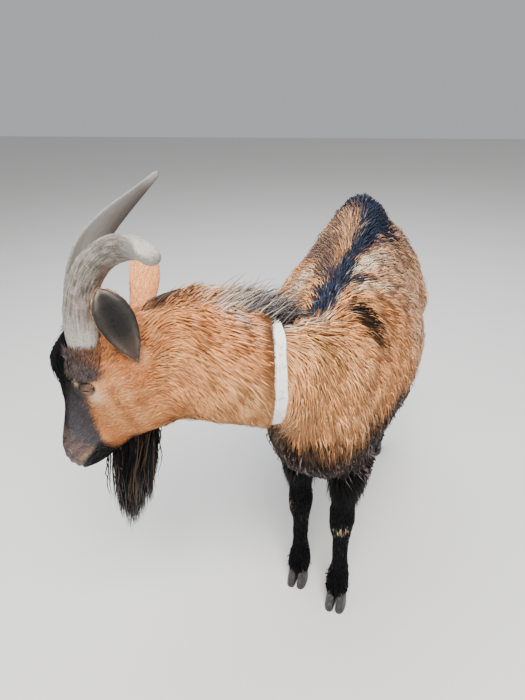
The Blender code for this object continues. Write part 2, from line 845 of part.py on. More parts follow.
def trunk_spots(rng):
    """Locks along the spine, down both flanks, under the belly, on the chest and behind the thighs."""
    spots = []
    for step in range(10):
        fan = Vector((0.35 * (-1) ** step, 0.9, 0.05))
        length = 0.105 - 0.0025 * step
        spots.append(trunk_spot(rng, -0.265 + 0.053 * step, 7 * (-1) ** step, length, 0.048, 0.008, fan))
    for sign in (-1, 1):
        for row, angle in enumerate((42, 76, 106)):
            for step in range(4 - row % 2):
                y = -0.245 + 0.142 * step + 0.055 * row
                spots.append(trunk_spot(rng, y, sign * angle, 0.125, 0.054, 0.010))
        for step in range(2):
            down = Vector((sign * 0.2, 0.25, -1.0))
            spots.append(trunk_spot(rng, -0.325, sign * (74 + 32 * step), 0.100, 0.050, 0.010, down))
        for step in range(6):
            down = Vector((0.0, 0.45, -1.0))
            angle = sign * (130 + 10 * (step % 2))
            spots.append(trunk_spot(rng, -0.345 + 0.098 * step, angle, 0.085, 0.046, 0.004, down))
        for step in range(3):
            start = Vector((sign * (0.055 + 0.022 * step), 0.60, 0.77 - 0.095 * step))
            down = Vector((sign * 0.05, 0.35, -1.0))
            spots.append((start, Vector((0, -1, 0)), down, 0.105, 0.046, 0.008))
    for step in range(7):
        start = Vector((-0.075 + 0.025 * step, -0.60, 0.590 - 0.055 * (step % 3)))
        down = Vector((0.0, 0.15, -1.0))
        spots.append((start, Vector((0, 1, 0)), down, 0.090 * rng.uniform(0.9, 1.15), 0.042, 0.008))
    return spots


def neck_spot(rng, share, angle, length, width, lift, down=0.35):
    """A spot on the neck, at a share of the way from collar to head and an angle from the crest."""
    first, last = NECK[2][0], NECK[5][0]
    centre = first.lerp(last, share)
    along = (last - first).normalized()
    up = (Vector((0, 0, 1)) - along * along.z).normalized()
    side = up.cross(along)
    turn = math.radians(angle + rng.uniform(-4, 4))
    out = up * math.cos(turn) + side * math.sin(turn)
    lie = -along + Vector((0, 0, -down)) + Vector([rng.uniform(-0.10, 0.10) for _ in range(3)])
    length = length * rng.uniform(0.85, 1.15)
    width = width * rng.uniform(0.85, 1.15)
    return centre + out * 0.4, -out, lie, length, width, lift


def neck_spots(rng):
    """Locks along the crest, under the throat and down both sides of the neck."""
    spots = []
    for step in range(9):
        rise = 0.019 - 0.0012 * step
        spots.append(neck_spot(rng, 0.12 + 0.100 * step, 12 * (-1) ** step, 0.080, 0.044, rise, 0.0))
    for step in range(5):
        spots.append(neck_spot(rng, 0.34 + 0.150 * step, 180 + 14 * (-1) ** step, 0.070, 0.042, 0.004, 0.9))
    for sign in (-1, 1):
        for step in range(4):
            angle = sign * (55 + 55 * (step % 2))
            spots.append(neck_spot(rng, 0.45 + 0.150 * step, angle, 0.090, 0.046, 0.009))
    return spots


def head_spot(place, out, flow, length, width, lift):
    """A spot given in the head's axes."""
    turn = HEAD.to_3x3()
    out = out.normalized()
    return HEAD @ (place + out * 0.12), turn @ -out, turn @ flow, length, width, lift


def beard_locks(head, rng):
    """Locks along the lower jaw that hang down and close to one tip."""
    down = HEAD.to_3x3().inverted() @ Vector((0, 0, -1))
    pieces = []
    for step in range(BEARD_LOCKS):
        share = (step % 6) / 5
        across = (-0.013, 0.013, 0.0)[step // 6] + rng.uniform(-0.003, 0.003)
        out = Vector((0.0, -1.0, across * 10)).normalized()
        start = BEARD_BACK.lerp(BEARD_FRONT, share) + Vector((0, 0, across)) + out * 0.15
        hit, root, normal, _ = head.ray_cast(HEAD @ start, HEAD.to_3x3() @ -out)
        if not hit:
            continue
        fall = BEARD_FALL * (1 - 0.22 * abs(share - 0.45) * 2 + rng.uniform(-0.10, 0.05))
        gather = (BEARD_FRONT - BEARD_BACK) * (BEARD_TIP_SHARE - share) * 0.60
        tip = root + HEAD.to_3x3() @ (down * fall + gather + Vector((0, 0, -across * 0.6)))
        middle = root.lerp(tip, 0.45) + normal * 0.006
        pieces.append(lock(root, normal, middle, tip, 0.025 * rng.uniform(0.9, 1.15)))
    return pieces


def head_spots(rng):
    spots = []
    for step in range(6):
        across = -0.025 + 0.010 * step
        place = Vector((0.074 + 0.014 * (step % 2), 0.06, across))
        flow = Vector((1.0, -0.30, across * 7))
        reach = 0.050 * rng.uniform(0.85, 1.1)
        spots.append(head_spot(place, Vector((0.2, 1, 0)), flow, reach, 0.022, 0.009))
    for step in range(3):
        across = -0.030 + 0.030 * step
        flow = Vector((-1.0, -0.4, across * 6))
        place = Vector((0.010, 0.0, across))
        spots.append(head_spot(place, Vector((-0.2, 1, 0)), flow, 0.060, 0.034, 0.008))
    for sign in (-1, 1):
        for step in range(3):
            place = Vector((0.070 + 0.045 * step, -0.140 + 0.008 * step, 0.0))
            flow = Vector((-0.8, -0.50, sign * 0.1))
            spots.append(head_spot(place, Vector((0, -0.6, sign)), flow, 0.060, 0.034, 0.006))
    return spots


def leg_locks(target, rows, rng, fore):
    """Long hair round the top of a foreleg, or behind the thigh."""
    spots = []
    height, (x, y), _, _ = rows[2]
    count = 6 if fore else 4
    for step in range(count):
        turn = 2 * math.pi * step / count if fore else math.radians(45 + 30 * step)
        out = Vector((math.cos(turn), math.sin(turn), 0.0))
        level = (0.400 - 0.012 * (step % 2)) if fore else (0.440 - 0.030 * (step % 3))
        start = Vector((x, y, level)) + out * 0.3
        flow = Vector((0, 0.05 if fore else 0.15, -1.0))
        spots.append((start, -out, flow, 0.060 * rng.uniform(0.8, 1.15), 0.034, 0.003))
    return grow(target, spots)


def tail_locks(tail, rng):
    spots = []
    for step in range(6):
        y, z = ((0.470, 0.868), (0.505, 0.852), (0.532, 0.815))[step // 2]
        sign = 1 if step % 2 else -1
        start = Vector((sign * 0.2, y, z + 0.03))
        aim = Vector((-sign, 0.0, -0.15)).normalized()
        flow = Vector((sign * 0.12, 0.35, -1.0))
        spots.append((start, aim, flow, 0.070 * rng.uniform(0.85, 1.15), 0.030, 0.004))
    return grow(tail, spots)


# Nodes


def neck_ring(name, half, inner, outer):
    """A flat ring round the neck. Its inside and outside are given from the neck's own outline."""
    side = COLLAR_AXIS.cross(Vector((0, 0, 1))).normalized()
    up = side.cross(COLLAR_AXIS)
    _, half_width, above, below = NECK[2]
    loops = []
    bm = bmesh.new()
    for shift, grow in ((-half, inner), (-half, outer), (half, outer), (half, inner)):
        centre = COLLAR_CENTRE + COLLAR_AXIS * shift
        ring = section(centre, side, up, half_width + grow, above + grow, below + grow, COLLAR_SIDES)
        loops.append([bm.verts.new(point) for point in ring])
    for first, second in zip(loops, loops[1:] + loops[:1]):
        for index in range(COLLAR_SIDES):
            follow = (index + 1) % COLLAR_SIDES
            bm.faces.new((first[index], first[follow], second[follow], second[index]))
    return new_object(name, bm)


def make_collar():
    """A flat strap round the neck."""
    return finish(neck_ring("collar", COLLAR_WIDTH / 2, 0.0, COLLAR_THICKNESS), "collar", "collar")


def collar_seat(reach):
    """The room that the collar takes: a thick ring that presses the coat in."""
    return neck_ring("collar_seat", COLLAR_WIDTH / 2 + GAP, -GAP, reach)


def leg_block(name, rows, cut_height, margin):
    """The block of space under a leg's cut that only the leg uses."""
    xs = [row[1][0] for row in rows[2:]]
    ys = [row[1][1] for row in rows[2:]]
    low = (min(xs) - 0.055 - margin, min(ys) - 0.075 - margin, -0.05)
    high = (max(xs) + 0.055 + margin, max(ys) + 0.075 + margin, cut_height + margin)
    return box_between(name, low, high)


def make_trunk_and_neck(legs):
    bm = bmesh.new()
    add_trunk(bm)
    for sign in (-1, 1):
        add_thigh(bm, sign)
    add_neck(bm)
    add_skull(bm)
    for rows, _ in legs.values():
        add_leg_root(bm, rows)
    whole = remeshed("whole", bm, 0.010, 6, 1700)
    neck = copy_of(whole, "neck")
    fuse(whole, grow(whole, trunk_spots(random.Random(SEED))))
    fuse(neck, grow(neck, neck_spots(random.Random(SEED + 1))))
    boolean(whole, collar_seat(TRUNK_SEAT_DEPTH), "DIFFERENCE")
    boolean(neck, collar_seat(NECK_SEAT_DEPTH), "DIFFERENCE")
    before_collar = half_space("front", COLLAR_CENTRE + COLLAR_AXIS * GAP / 2, COLLAR_AXIS, 0.6, 0.22)
    boolean(neck, before_collar, "INTERSECT")
    behind_head = half_space("ahead", HEAD_CUT_POINT - HEAD_CUT_NORMAL * GAP, HEAD_CUT_NORMAL)
    boolean(neck, behind_head, "DIFFERENCE")
    past_collar = half_space("front", COLLAR_CENTRE - COLLAR_AXIS * GAP / 2, COLLAR_AXIS, 0.6, 0.22)
    boolean(whole, past_collar, "DIFFERENCE")
    for name, (rows, cut_height) in legs.items():
        boolean(whole, leg_block(name, rows, cut_height, GAP), "DIFFERENCE")
    finish(neck, "neck", "coat_tan")
    return finish(whole, "torso", "coat_tan")


def make_tail(torso):
    bm = bmesh.new()
    tube(bm, [row[0] for row in TAIL], [(row[1], row[2], row[2]) for row in TAIL], Vector((0, 0, 1)), 10)
    tail = new_object("tail", bm)
    fuse(tail, tail_locks(tail, random.Random(SEED + 2)))
    boolean(tail, inflated(torso, 2 * GAP), "DIFFERENCE")
    finish(tail, "tail", "coat_black")


def make_head():
    bm = bmesh.new()
    add_skull(bm)
    add_neck(bm, 3)
    head = remeshed("head", bm, 0.0055, 6, 1100)
    rng = random.Random(SEED + 3)
    hair = beard_locks(head, rng) + grow(head, head_spots(rng))
    add_lips(head)
    add_nostrils(head)
    fuse(head, hair)
    add_eyes(head)
    boolean(head, half_space("ahead", HEAD_CUT_POINT, HEAD_CUT_NORMAL, 0.9, 0.5), "INTERSECT")
    for side in ("left", "right"):
        horn = horn_body(side)
        ear = ear_body(side)
        boolean(head, inflated(horn), "DIFFERENCE")
        boolean(ear, inflated(head), "DIFFERENCE")
        finish(horn, "horn_" + side, "horn")
        finish(ear, "ear_" + side, "coat_tan")
    finish(head, "head", "coat_tan")


def make_legs(legs, spots):
    rng = random.Random(SEED + 4)
    for name, (rows, cut_height) in legs.items():
        leg_node(name, rows, cut_height, rng)
        hoof("hoof" + name[3:], spots[name]["toe"])


def main():
    clear_scene()
    spots = {f"leg_fore_{side}": spot for side, spot in FORE_LEGS.items()}
    spots.update({f"leg_hind_{side}": spot for side, spot in HIND_LEGS.items()})
    legs = {}
    for name, spot in spots.items():
        fore = "fore" in name
        rows = fore_rows(spot) if fore else hind_rows(spot)
        legs[name] = (rows, FORE_CUT_HEIGHT if fore else HIND_CUT_HEIGHT)
    torso = make_trunk_and_neck(legs)
    make_legs(legs, spots)
    make_tail(torso)
    make_collar()
    make_head()
    for item in bpy.data.objects:
        item.location += ORIGIN_SHIFT


main()
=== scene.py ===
"""Looks of a life-size alpine goat: one skin, its coat in solid tufts, eyes, horns, hooves and a collar."""

import math

import bmesh
import bpy
import numpy as np
from mathutils import Matrix, Vector
from mathutils.bvhtree import BVHTree


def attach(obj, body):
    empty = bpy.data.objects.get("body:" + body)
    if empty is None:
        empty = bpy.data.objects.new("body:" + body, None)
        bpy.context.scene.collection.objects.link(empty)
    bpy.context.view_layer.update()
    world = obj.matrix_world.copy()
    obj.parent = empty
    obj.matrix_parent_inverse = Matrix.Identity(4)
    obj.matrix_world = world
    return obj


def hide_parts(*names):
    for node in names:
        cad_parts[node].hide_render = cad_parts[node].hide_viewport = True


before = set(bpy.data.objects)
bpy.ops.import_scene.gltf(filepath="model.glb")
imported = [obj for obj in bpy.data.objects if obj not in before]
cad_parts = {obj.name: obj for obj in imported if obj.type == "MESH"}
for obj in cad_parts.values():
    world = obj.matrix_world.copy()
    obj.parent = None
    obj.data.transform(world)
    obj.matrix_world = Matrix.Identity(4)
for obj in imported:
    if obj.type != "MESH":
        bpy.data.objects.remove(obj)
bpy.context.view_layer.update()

bl_info = {
    "name": "Alpine goat looks",
    "version": (1, 0, 0),
    "blender": (4, 5, 0),
    "location": "View3D > Sidebar > Goat",
    "description": "Builds the skin, coat, horns, hooves, eyes, collar and stage of a life-size goat",
    "category": "Object",
}

# The animal's own frame: it faces -Y, its left side is +X, and this shift puts it in the solids' frame
SHIFT = Vector((0.121, 0.103, 0.0))
BAKE_MAP = "OFBake"
X_AXIS = Vector((1.0, 0.0, 0.0))
Y_AXIS = Vector((0.0, 1.0, 0.0))
Z_AXIS = Vector((0.0, 0.0, 1.0))
SIGNS = {"left": 1, "right": -1}

# Fineness of the melted body in metres, and rounds of smoothing for its form and for the lie of the hair
BODY_VOXEL = 0.0068
BODY_SMOOTHING = 7
FLOW_SMOOTHING = 25

# Trunk sections: y, top z, bottom z, half width, z of the widest point, out to the tips of the coat
TRUNK = (
    (-0.425, 0.700, 0.560, 0.045, 0.630),
    (-0.400, 0.765, 0.505, 0.085, 0.630),
    (-0.350, 0.820, 0.455, 0.118, 0.620),
    (-0.280, 0.852, 0.435, 0.145, 0.610),
    (-0.200, 0.862, 0.432, 0.166, 0.620),
    (-0.100, 0.858, 0.430, 0.194, 0.620),
    (0.020, 0.862, 0.425, 0.210, 0.640),
    (0.126, 0.882, 0.432, 0.198, 0.645),
    (0.220, 0.924, 0.462, 0.170, 0.650),
    (0.300, 0.944, 0.505, 0.146, 0.680),
    (0.370, 0.930, 0.565, 0.122, 0.715),
    (0.420, 0.880, 0.640, 0.095, 0.750),
    (0.445, 0.830, 0.700, 0.045, 0.760),
)
TRUNK_COAT = 0.018
RUMP_SLOPE = 0.30
RUMP_SHIFT = -0.010
AXIS_HEIGHT = 0.66

# Neck sections: centre, half width, reach above the centre, reach below it
COLLAR_CENTRE = Vector((-0.0818, -0.4003, 0.7627))
COLLAR_AXIS = Vector((-0.8895, -0.4533, 0.0579)).normalized()
NECK_NARROWEST = Vector((-0.070, -0.406, 0.752))
NECK_AXIS = Vector((-0.880, -0.375, 0.290)).normalized()
HEAD_START = Vector((-0.252, -0.478, 0.815))
HEAD_START_AXIS = Vector((-0.925, -0.360, 0.120)).normalized()
NECK = (
    (Vector((0.030, -0.235, 0.660)), 0.105, 0.150, 0.160),
    (Vector((-0.018, -0.335, 0.722)), 0.105, 0.122, 0.135),
    (NECK_NARROWEST, 0.090, 0.100, 0.106),
    (Vector((-0.128, -0.434, 0.772)), 0.092, 0.122, 0.124),
    (Vector((-0.190, -0.456, 0.795)), 0.094, 0.136, 0.138),
    (Vector((-0.250, -0.477, 0.812)), 0.092, 0.132, 0.138),
    (Vector((-0.305, -0.498, 0.822)), 0.082, 0.100, 0.112),
)
NECK_COAT = 0.016
COLLAR_ROW = 2

# Head sections: distance ahead of the poll, top, bottom, half width, height of the widest point
SKULL = (
    (-0.050, -0.055, -0.150, 0.045, -0.100),
    (-0.020, -0.008, -0.186, 0.064, -0.085),
    (0.020, 0.032, -0.200, 0.069, -0.070),
    (0.060, 0.056, -0.205, 0.072, -0.055),
    (0.100, 0.066, -0.202, 0.073, -0.040),
    (0.135, 0.056, -0.192, 0.068, -0.045),
    (0.165, 0.032, -0.174, 0.058, -0.060),
    (0.195, 0.010, -0.150, 0.049, -0.070),
    (0.225, -0.004, -0.136, 0.042, -0.072),
    (0.255, -0.016, -0.124, 0.038, -0.070),
    (0.280, -0.028, -0.112, 0.035, -0.070),
    (0.297, -0.044, -0.100, 0.026, -0.072),
    (0.305, -0.060, -0.088, 0.012, -0.074),
)
SKULL_COAT = 0.005
POLL = Vector((-0.335, -0.515, 0.893))
HEAD_TURN = (math.radians(54), math.radians(53), math.radians(-6))

# Legs: where each crosses three heights
FORE_LEGS = {
    "right": {"top": (-0.084, -0.205), "knee": (-0.057, -0.251), "toe": (-0.059, -0.283)},
    "left": {"top": (0.084, -0.225), "knee": (0.058, -0.291), "toe": (0.057, -0.329)},
}
HIND_LEGS = {
    "right": {"top": (-0.112, 0.290), "hock": (-0.100, 0.415), "toe": (-0.102, 0.360)},
    "left": {"top": (0.108, 0.290), "hock": (0.084, 0.405), "toe": (0.080, 0.350)},
}
KNEE_HEIGHT = 0.278
HOCK_HEIGHT = 0.305
FETLOCK_HEIGHT = 0.095
CORONET_HEIGHT = 0.050

# Tail path: point, half width, half thickness
TAIL = (
    (Vector((0.0, 0.395, 0.846)), 0.024, 0.018),
    (Vector((0.0, 0.452, 0.868)), 0.018, 0.013),
    (Vector((0.0, 0.490, 0.862)), 0.016, 0.011),
    (Vector((0.0, 0.518, 0.836)), 0.013, 0.009),
    (Vector((0.0, 0.532, 0.812)), 0.007, 0.005),
)

# Face, in the head's axes (ahead, up, left) on the left side
EYE = Vector((0.1229, -0.0065, 0.0478))
EYE_OUT = Vector((0.305, 0.230, 0.920)).normalized()
EYE_RADIUS = 0.0145
SLIT_ALONG = (Vector((-0.60, -0.80, 0.0)) + EYE_OUT * 0.367).normalized()
SLIT_UP = SLIT_ALONG.cross(EYE_OUT)
SLIT_HALF = 0.0118
MOUTH_CORNER = Vector((0.250, -0.088, 0.0))
MOUTH_FRONT = Vector((0.312, -0.078, 0.0))
NOSTRIL_FRONT = Vector((0.298, -0.055, 0.010))
NOSTRIL_BACK = Vector((0.277, -0.041, 0.027))
BEARD_FRONT = Vector((0.254, -0.112, 0.0))
BEARD_BACK = Vector((0.168, -0.150, 0.0))
BEARD_FALL = 0.228

# Horn centrelines as cubic curves
HORN_ROOT = Vector((0.052, 0.042, 0.041))
HORNS = {
    "left": (Vector((-0.083, 0.143, 0.045)), Vector((-0.167, 0.061, 0.090)), Vector((-0.189, 0.067, 0.330))),
    "right": (Vector((-0.099, 0.136, 0.040)), Vector((-0.106, 0.089, 0.096)), Vector((-0.245, 0.028, 0.340))),
}
HORN_DEPTH = 0.061
HORN_BREADTH = 0.040
HORN_TAPER = {"left": 0.40, "right": 0.80}
# Share of the full depth, shift towards the front, and how far the tip closes
HORN_SLIMMING = {"left": (0.88, 0.0030, 0.80), "right": (1.0, 0.0, 0.97)}
# Where the worn end starts and is complete, and how worn the tip and the front edge are
HORN_WEAR = {"left": (0.72, 0.96, 0.70, 0.25), "right": (0.85, 1.0, 0.45, 1.0)}
HORN_STEPS = 120
HORN_SIDES = 28

# Ears: notch, tip and the way the cup opens
EARS = {
    "left": (Vector((0.030, -0.052, 0.066)), Vector((-0.075, 0.078, 0.132)), Vector((0.10, -0.28, 0.95))),
    "right": (Vector((-0.022, -0.036, 0.062)), Vector((-0.104, -0.008, 0.190)), Vector((1.00, -0.10, 0.50))),
}
EAR_WIDTH = 0.066
EAR_SHARES = (0.0, 0.08, 0.20, 0.36, 0.54, 0.74, 0.90, 1.0)
EAR_LEAF = {
    "left": (0.05, 0.30, 0.62, 0.88, 1.0, 0.88, 0.54, 0.05),
    "right": (0.66, 0.72, 0.80, 0.92, 1.0, 0.92, 0.62, 0.05),
}
EAR_BURIED = {"left": 0.002, "right": 0.022}
EAR_THICKNESS = 0.0030

# Strap
COLLAR_WIDTH = 0.024
COLLAR_THICKNESS = 0.004

# Tufts: counts of the long locks, and density of the coats for each square metre
BEARD_TUFTS = 2050
FORELOCK_TUFTS = 1500
MANE_TUFTS = 2600
FRINGE_TUFTS = 1100
TRUNK_DENSITY = 63000
NECK_DENSITY = 100000
HEAD_DENSITY = 120000
LEG_DENSITY = 68000
TAIL_DENSITY = 120000
EAR_DENSITY = 150000

# Camera and lights of the stage
CAMERA_PLACE = Vector((0.187, -1.290, 1.303))
CAMERA_TURN = (math.radians(17.85), math.radians(28.38), math.radians(2.07))
FOCAL_LENGTH_PX = 541.1
PHOTO_HEIGHT_PX = 700
SENSOR_HEIGHT = 36.0
LIGHTS = (
    ("key", (0.8, -1.9, 3.3), 1.8, 262.0, (1.0, 0.975, 0.94)),
    ("sky", (-0.3, 1.2, 3.4), 3.2, 130.0, (0.88, 0.94, 1.0)),
    ("fill", (-2.4, -1.8, 1.4), 2.0, 30.0, (1.0, 0.98, 0.96)),
)
LIGHT_AIM = Vector((0, 0, 0.6))
SKY_COLOUR = (0.86, 0.88, 0.90, 1.0)
SKY_STRENGTH = 0.52

# Coat colours, linear
TAN = (0.86, 0.360, 0.130)
DEEP_TAN = (0.54, 0.180, 0.055)
LIGHT_TAN = (0.98, 0.565, 0.275)
CREAM = (0.92, 0.80, 0.62)
OCHRE = (0.46, 0.235, 0.080)
FLANK = (0.56, 0.375, 0.275)
BLACK = (0.0035, 0.0035, 0.0048)
# Black hair with a painted blue sheen of the sky on it
BLACK_WITH_SKY_SHEEN = (0.024, 0.032, 0.060)
SOOT = (0.085, 0.078, 0.090)
GREY = (0.26, 0.245, 0.25)
SUNLIT_TAN = (1.0, 0.43, 0.165)
BROWN = (0.13, 0.075, 0.050)
STRAW = (0.62, 0.47, 0.30)
# Dark skin inside the ear, with painted shade of the cup's hollow
DARK_EAR_AND_CUP_SHADE = (0.006, 0.005, 0.0045)

# Edge between the dark face and the tan cheek: distance ahead of the poll, height
FACE_EDGE = ((0.000, 0.030), (0.050, 0.012), (0.078, -0.003), (0.100, -0.010), (0.118, 0.003), (0.130, 0.004),
             (0.152, -0.018), (0.173, -0.037), (0.200, -0.059), (0.215, -0.078), (0.236, -0.098),
             (0.262, -0.130))

# Crest of the neck, over the strap and down to the withers
MANE_LINE = ((-0.290, -0.470, 0.905), (-0.235, -0.470, 0.920), (-0.180, -0.460, 0.915), (-0.130, -0.440, 0.895),
             (-0.104, -0.400, 0.862), (-0.118, -0.340, 0.815), (-0.128, -0.280, 0.785))
MANE_COLOURS = ((0.025, 0.022, 0.025), (0.13, 0.07, 0.045), TAN, (0.72, 0.60, 0.50), (0.30, 0.26, 0.26),
                (0.055, 0.048, 0.052), (0.10, 0.08, 0.075), (0.62, 0.48, 0.34), CREAM)

# Strokes of colour over the back: colour, strength, and lines of places with a radius at each
TOP_STROKES = (
    (CREAM, 0.85, (
        ((-0.104, -0.226, 0.777, 0.020), (-0.105, -0.085, 0.799, 0.026), (-0.114, 0.005, 0.805, 0.018)),
        ((0.029, -0.099, 0.848, 0.020), (0.042, -0.022, 0.850, 0.026), (0.066, 0.044, 0.850, 0.024),
         (0.099, 0.105, 0.842, 0.014)),
        ((0.030, -0.200, 0.846, 0.012), (0.012, -0.300, 0.830, 0.015), (-0.020, -0.370, 0.818, 0.018)),
        ((0.041, -0.175, 0.846, 0.014), (0.078, -0.109, 0.830, 0.016), (0.127, -0.033, 0.796, 0.010)),
    )),
    (OCHRE, 0.60, (((0.022, -0.385, 0.812, 0.022), (0.040, -0.385, 0.790, 0.026)),)),
    (SOOT, 0.80, (
        ((-0.104, 0.150, 0.850, 0.040), (-0.067, 0.030, 0.842, 0.042), (-0.039, -0.079, 0.848, 0.036)),
        ((0.030, -0.215, 0.850, 0.010), (0.062, -0.222, 0.836, 0.012), (0.082, -0.226, 0.812, 0.018)),
    )),
    # Dorsal stripe, croup band and a branch off the stripe: black hair with a painted blue sky sheen
    (BLACK_WITH_SKY_SHEEN, 1.0, (
        ((-0.050, -0.440, 0.860, 0.016), (-0.057, -0.310, 0.824, 0.024), (-0.034, -0.275, 0.838, 0.031),
         (-0.014, -0.231, 0.850, 0.038), (0.000, -0.160, 0.856, 0.044), (0.005, -0.075, 0.856, 0.042),
         (0.010, 0.022, 0.858, 0.032), (0.024, 0.099, 0.868, 0.030), (0.046, 0.182, 0.892, 0.038),
         (0.045, 0.250, 0.910, 0.056), (0.025, 0.330, 0.920, 0.078), (-0.005, 0.400, 0.900, 0.070),
         (0.004, 0.450, 0.850, 0.035)),
        ((-0.050, 0.340, 0.915, 0.052), (0.010, 0.320, 0.925, 0.066), (0.066, 0.270, 0.895, 0.052),
         (0.092, 0.225, 0.868, 0.030)),
        ((0.015, -0.155, 0.850, 0.024), (0.048, -0.103, 0.842, 0.016), (0.078, -0.058, 0.832, 0.010)),
    )),
    (BLACK, 0.97, (
        ((0.078, -0.210, 0.820, 0.024), (0.098, -0.222, 0.790, 0.044), (0.114, -0.228, 0.752, 0.034)),
    )),
)


def head_matrix():
    """Matrix from the head's axes to the animal's frame."""
    yaw, pitch, roll = HEAD_TURN
    flat = Vector((-math.sin(yaw), -math.cos(yaw), 0.0))
    left = Z_AXIS.cross(flat)
    ahead = math.cos(pitch) * flat - math.sin(pitch) * Z_AXIS
    crown = math.sin(pitch) * flat + math.cos(pitch) * Z_AXIS
    top = math.cos(roll) * crown + math.sin(roll) * left
    side = math.cos(roll) * left - math.sin(roll) * crown
    turn = Matrix((ahead, top, side)).transposed().to_4x4()
    return Matrix.Translation(POLL) @ turn


HEAD = head_matrix()
HEAD_AXES = np.array(HEAD.to_3x3())
POLL_POINT = np.array(POLL)


def to_head(points):
    """Points of the animal's frame in the head's axes."""
    return (points - POLL_POINT) @ HEAD_AXES


def from_head(directions):
    return directions @ HEAD_AXES.T


def step(low, high, value):
    """Smooth step from 0 at low to 1 at high."""
    share = np.clip((value - low) / (high - low), 0.0, 1.0)
    return share * share * (3 - 2 * share)


def bump(value, width):
    return np.exp(-(value / width) ** 2)


def unit(vectors):
    return vectors / np.maximum(np.linalg.norm(vectors, axis=-1, keepdims=True), 1e-9)


def laid(ways, normals):
    """Directions turned to lie in the surface."""
    return unit(ways - normals * np.sum(ways * normals, axis=1, keepdims=True))


def varied(rng, count, spread):
    """Random factors about 1."""
    return np.exp(rng.normal(size=count) * spread)


def angles(count):
    """Angles of points spaced evenly round a ring."""
    return [2 * math.pi * index / count for index in range(count)]


def mirrored(head):
    """Points in the head's axes, with those of the right side brought over to the left."""
    return np.stack((head[:, 0], head[:, 1], np.abs(head[:, 2])), axis=1)


def on_side(place, sign):
    """A place of the left side of the head, or its mirror image on the right."""
    return Vector((place.x, place.y, place.z * sign))


def eye_distance(head):
    return np.linalg.norm(mirrored(head) - np.array(EYE), axis=1)


def jaw_weight(head):
    return step(-0.10, -0.165, head[:, 1]) * step(0.18, 0.11, head[:, 0])


def from_collar(points):
    """Distance along the collar's axis from its middle, and distance from its centre."""
    away = points - np.array(COLLAR_CENTRE)
    return away @ np.array(COLLAR_AXIS), np.linalg.norm(away, axis=1)


def waves(points, scale, seed, count=7):
    """Soft random field between about -1 and 1, with features of about the given size."""
    rng = np.random.default_rng(seed)
    total = np.zeros(len(points))
    for _ in range(count):
        way = unit(rng.normal(size=3)) * rng.uniform(0.7, 1.6) * 2 * math.pi / scale
        total += np.sin(points @ way + rng.uniform(0, 2 * math.pi))
    return total / math.sqrt(count) * 1.2


def to_path(points, path):
    """Distance of each point from a path of straight runs, and the share of the way along it."""
    best = np.full(len(points), 1e9)
    share = np.zeros(len(points))
    runs = len(path) - 1
    for index in range(runs):
        start = np.array(path[index])
        run = np.array(path[index + 1]) - start
        along = np.clip((points - start) @ run / (run @ run), 0.0, 1.0)
        away = np.linalg.norm(points - start - along[:, None] * run, axis=1)
        nearer = away < best
        best = np.where(nearer, away, best)
        share = np.where(nearer, (index + along) / runs, share)
    return best, share


def mix(colours, target, weight):
    weight = np.clip(weight, 0.0, 1.0)[:, None]
    return colours * (1 - weight) + np.array(target) * weight


def tint(colours, target, weight):
    """Mixes a colour into others in place, by a weight for each."""
    colours[:] = mix(colours, target, weight)


# Where each part of the body is


def regions(points):
    """Soft weights of head, neck, tail, leg and trunk at each point."""
    head = step(-0.02, 0.045, (points - np.array(HEAD_START)) @ np.array(HEAD_START_AXIS))
    neck = step(-0.03, 0.03, from_collar(points)[0]) * (1 - head)
    tail = step(0.435, 0.465, points[:, 1]) * step(0.70, 0.76, points[:, 2])
    rest = (1 - head - neck) * (1 - tail)
    leg = step(0.445, 0.395, points[:, 2]) * rest
    return {"head": head, "neck": neck, "tail": tail, "leg": leg, "trunk": rest - leg}


def neck_turn(points):
    """Distance along the neck from the collar, and angle from its crest, in degrees."""
    away = points - np.array(NECK_NARROWEST)
    axis = np.array(NECK_AXIS)
    along = away @ axis
    up = unit(np.array((0.0, 0.0, 1.0)) - axis * axis[2])
    side = np.cross(up, axis)
    flat = away - along[:, None] * axis
    return along, np.degrees(np.arctan2(flat @ side, flat @ up + 0.03))


def markings(points):
    """Colour of the coat at points of the animal's frame."""
    area = regions(points)
    fine = waves(points, 0.050, 1)
    broad = waves(points, 0.16, 2)
    colours = np.tile(np.array(TAN), (len(points), 1))
    tint(colours, LIGHT_TAN, 0.30 + 0.22 * broad)
    tint(colours, DEEP_TAN, 0.22 * fine)
    streaks = waves(points * (1.0, 0.8, 0.35), 0.034, 12)
    tint(colours, (0.44, 0.20, 0.085), 0.34 * np.maximum(streaks, 0))
    tint(colours, LIGHT_TAN, 0.40 * np.maximum(-streaks, 0))
    tint(colours, SUNLIT_TAN, 0.46 * step(-0.08, -0.22, points[:, 1]) * (1 - area["head"]))
    trunk_markings(colours, points, area, fine)
    neck_markings(colours, points, area, fine)
    leg_markings(colours, points, area)
    head_markings(colours, points, area, fine)
    return colours


def stroke(points, path, fuzz=0.0):
    """Weight of a painted stroke along a path of places with radii."""
    flatten = np.array((1.0, 1.0, 0.5))
    spots = [np.array(row[:3]) * flatten for row in path]
    away, share = to_path(points * flatten, spots)
    radius = np.interp(share * (len(path) - 1), range(len(path)), [row[3] for row in path])
    return step(1.30, 0.60, (away + fuzz) / radius)


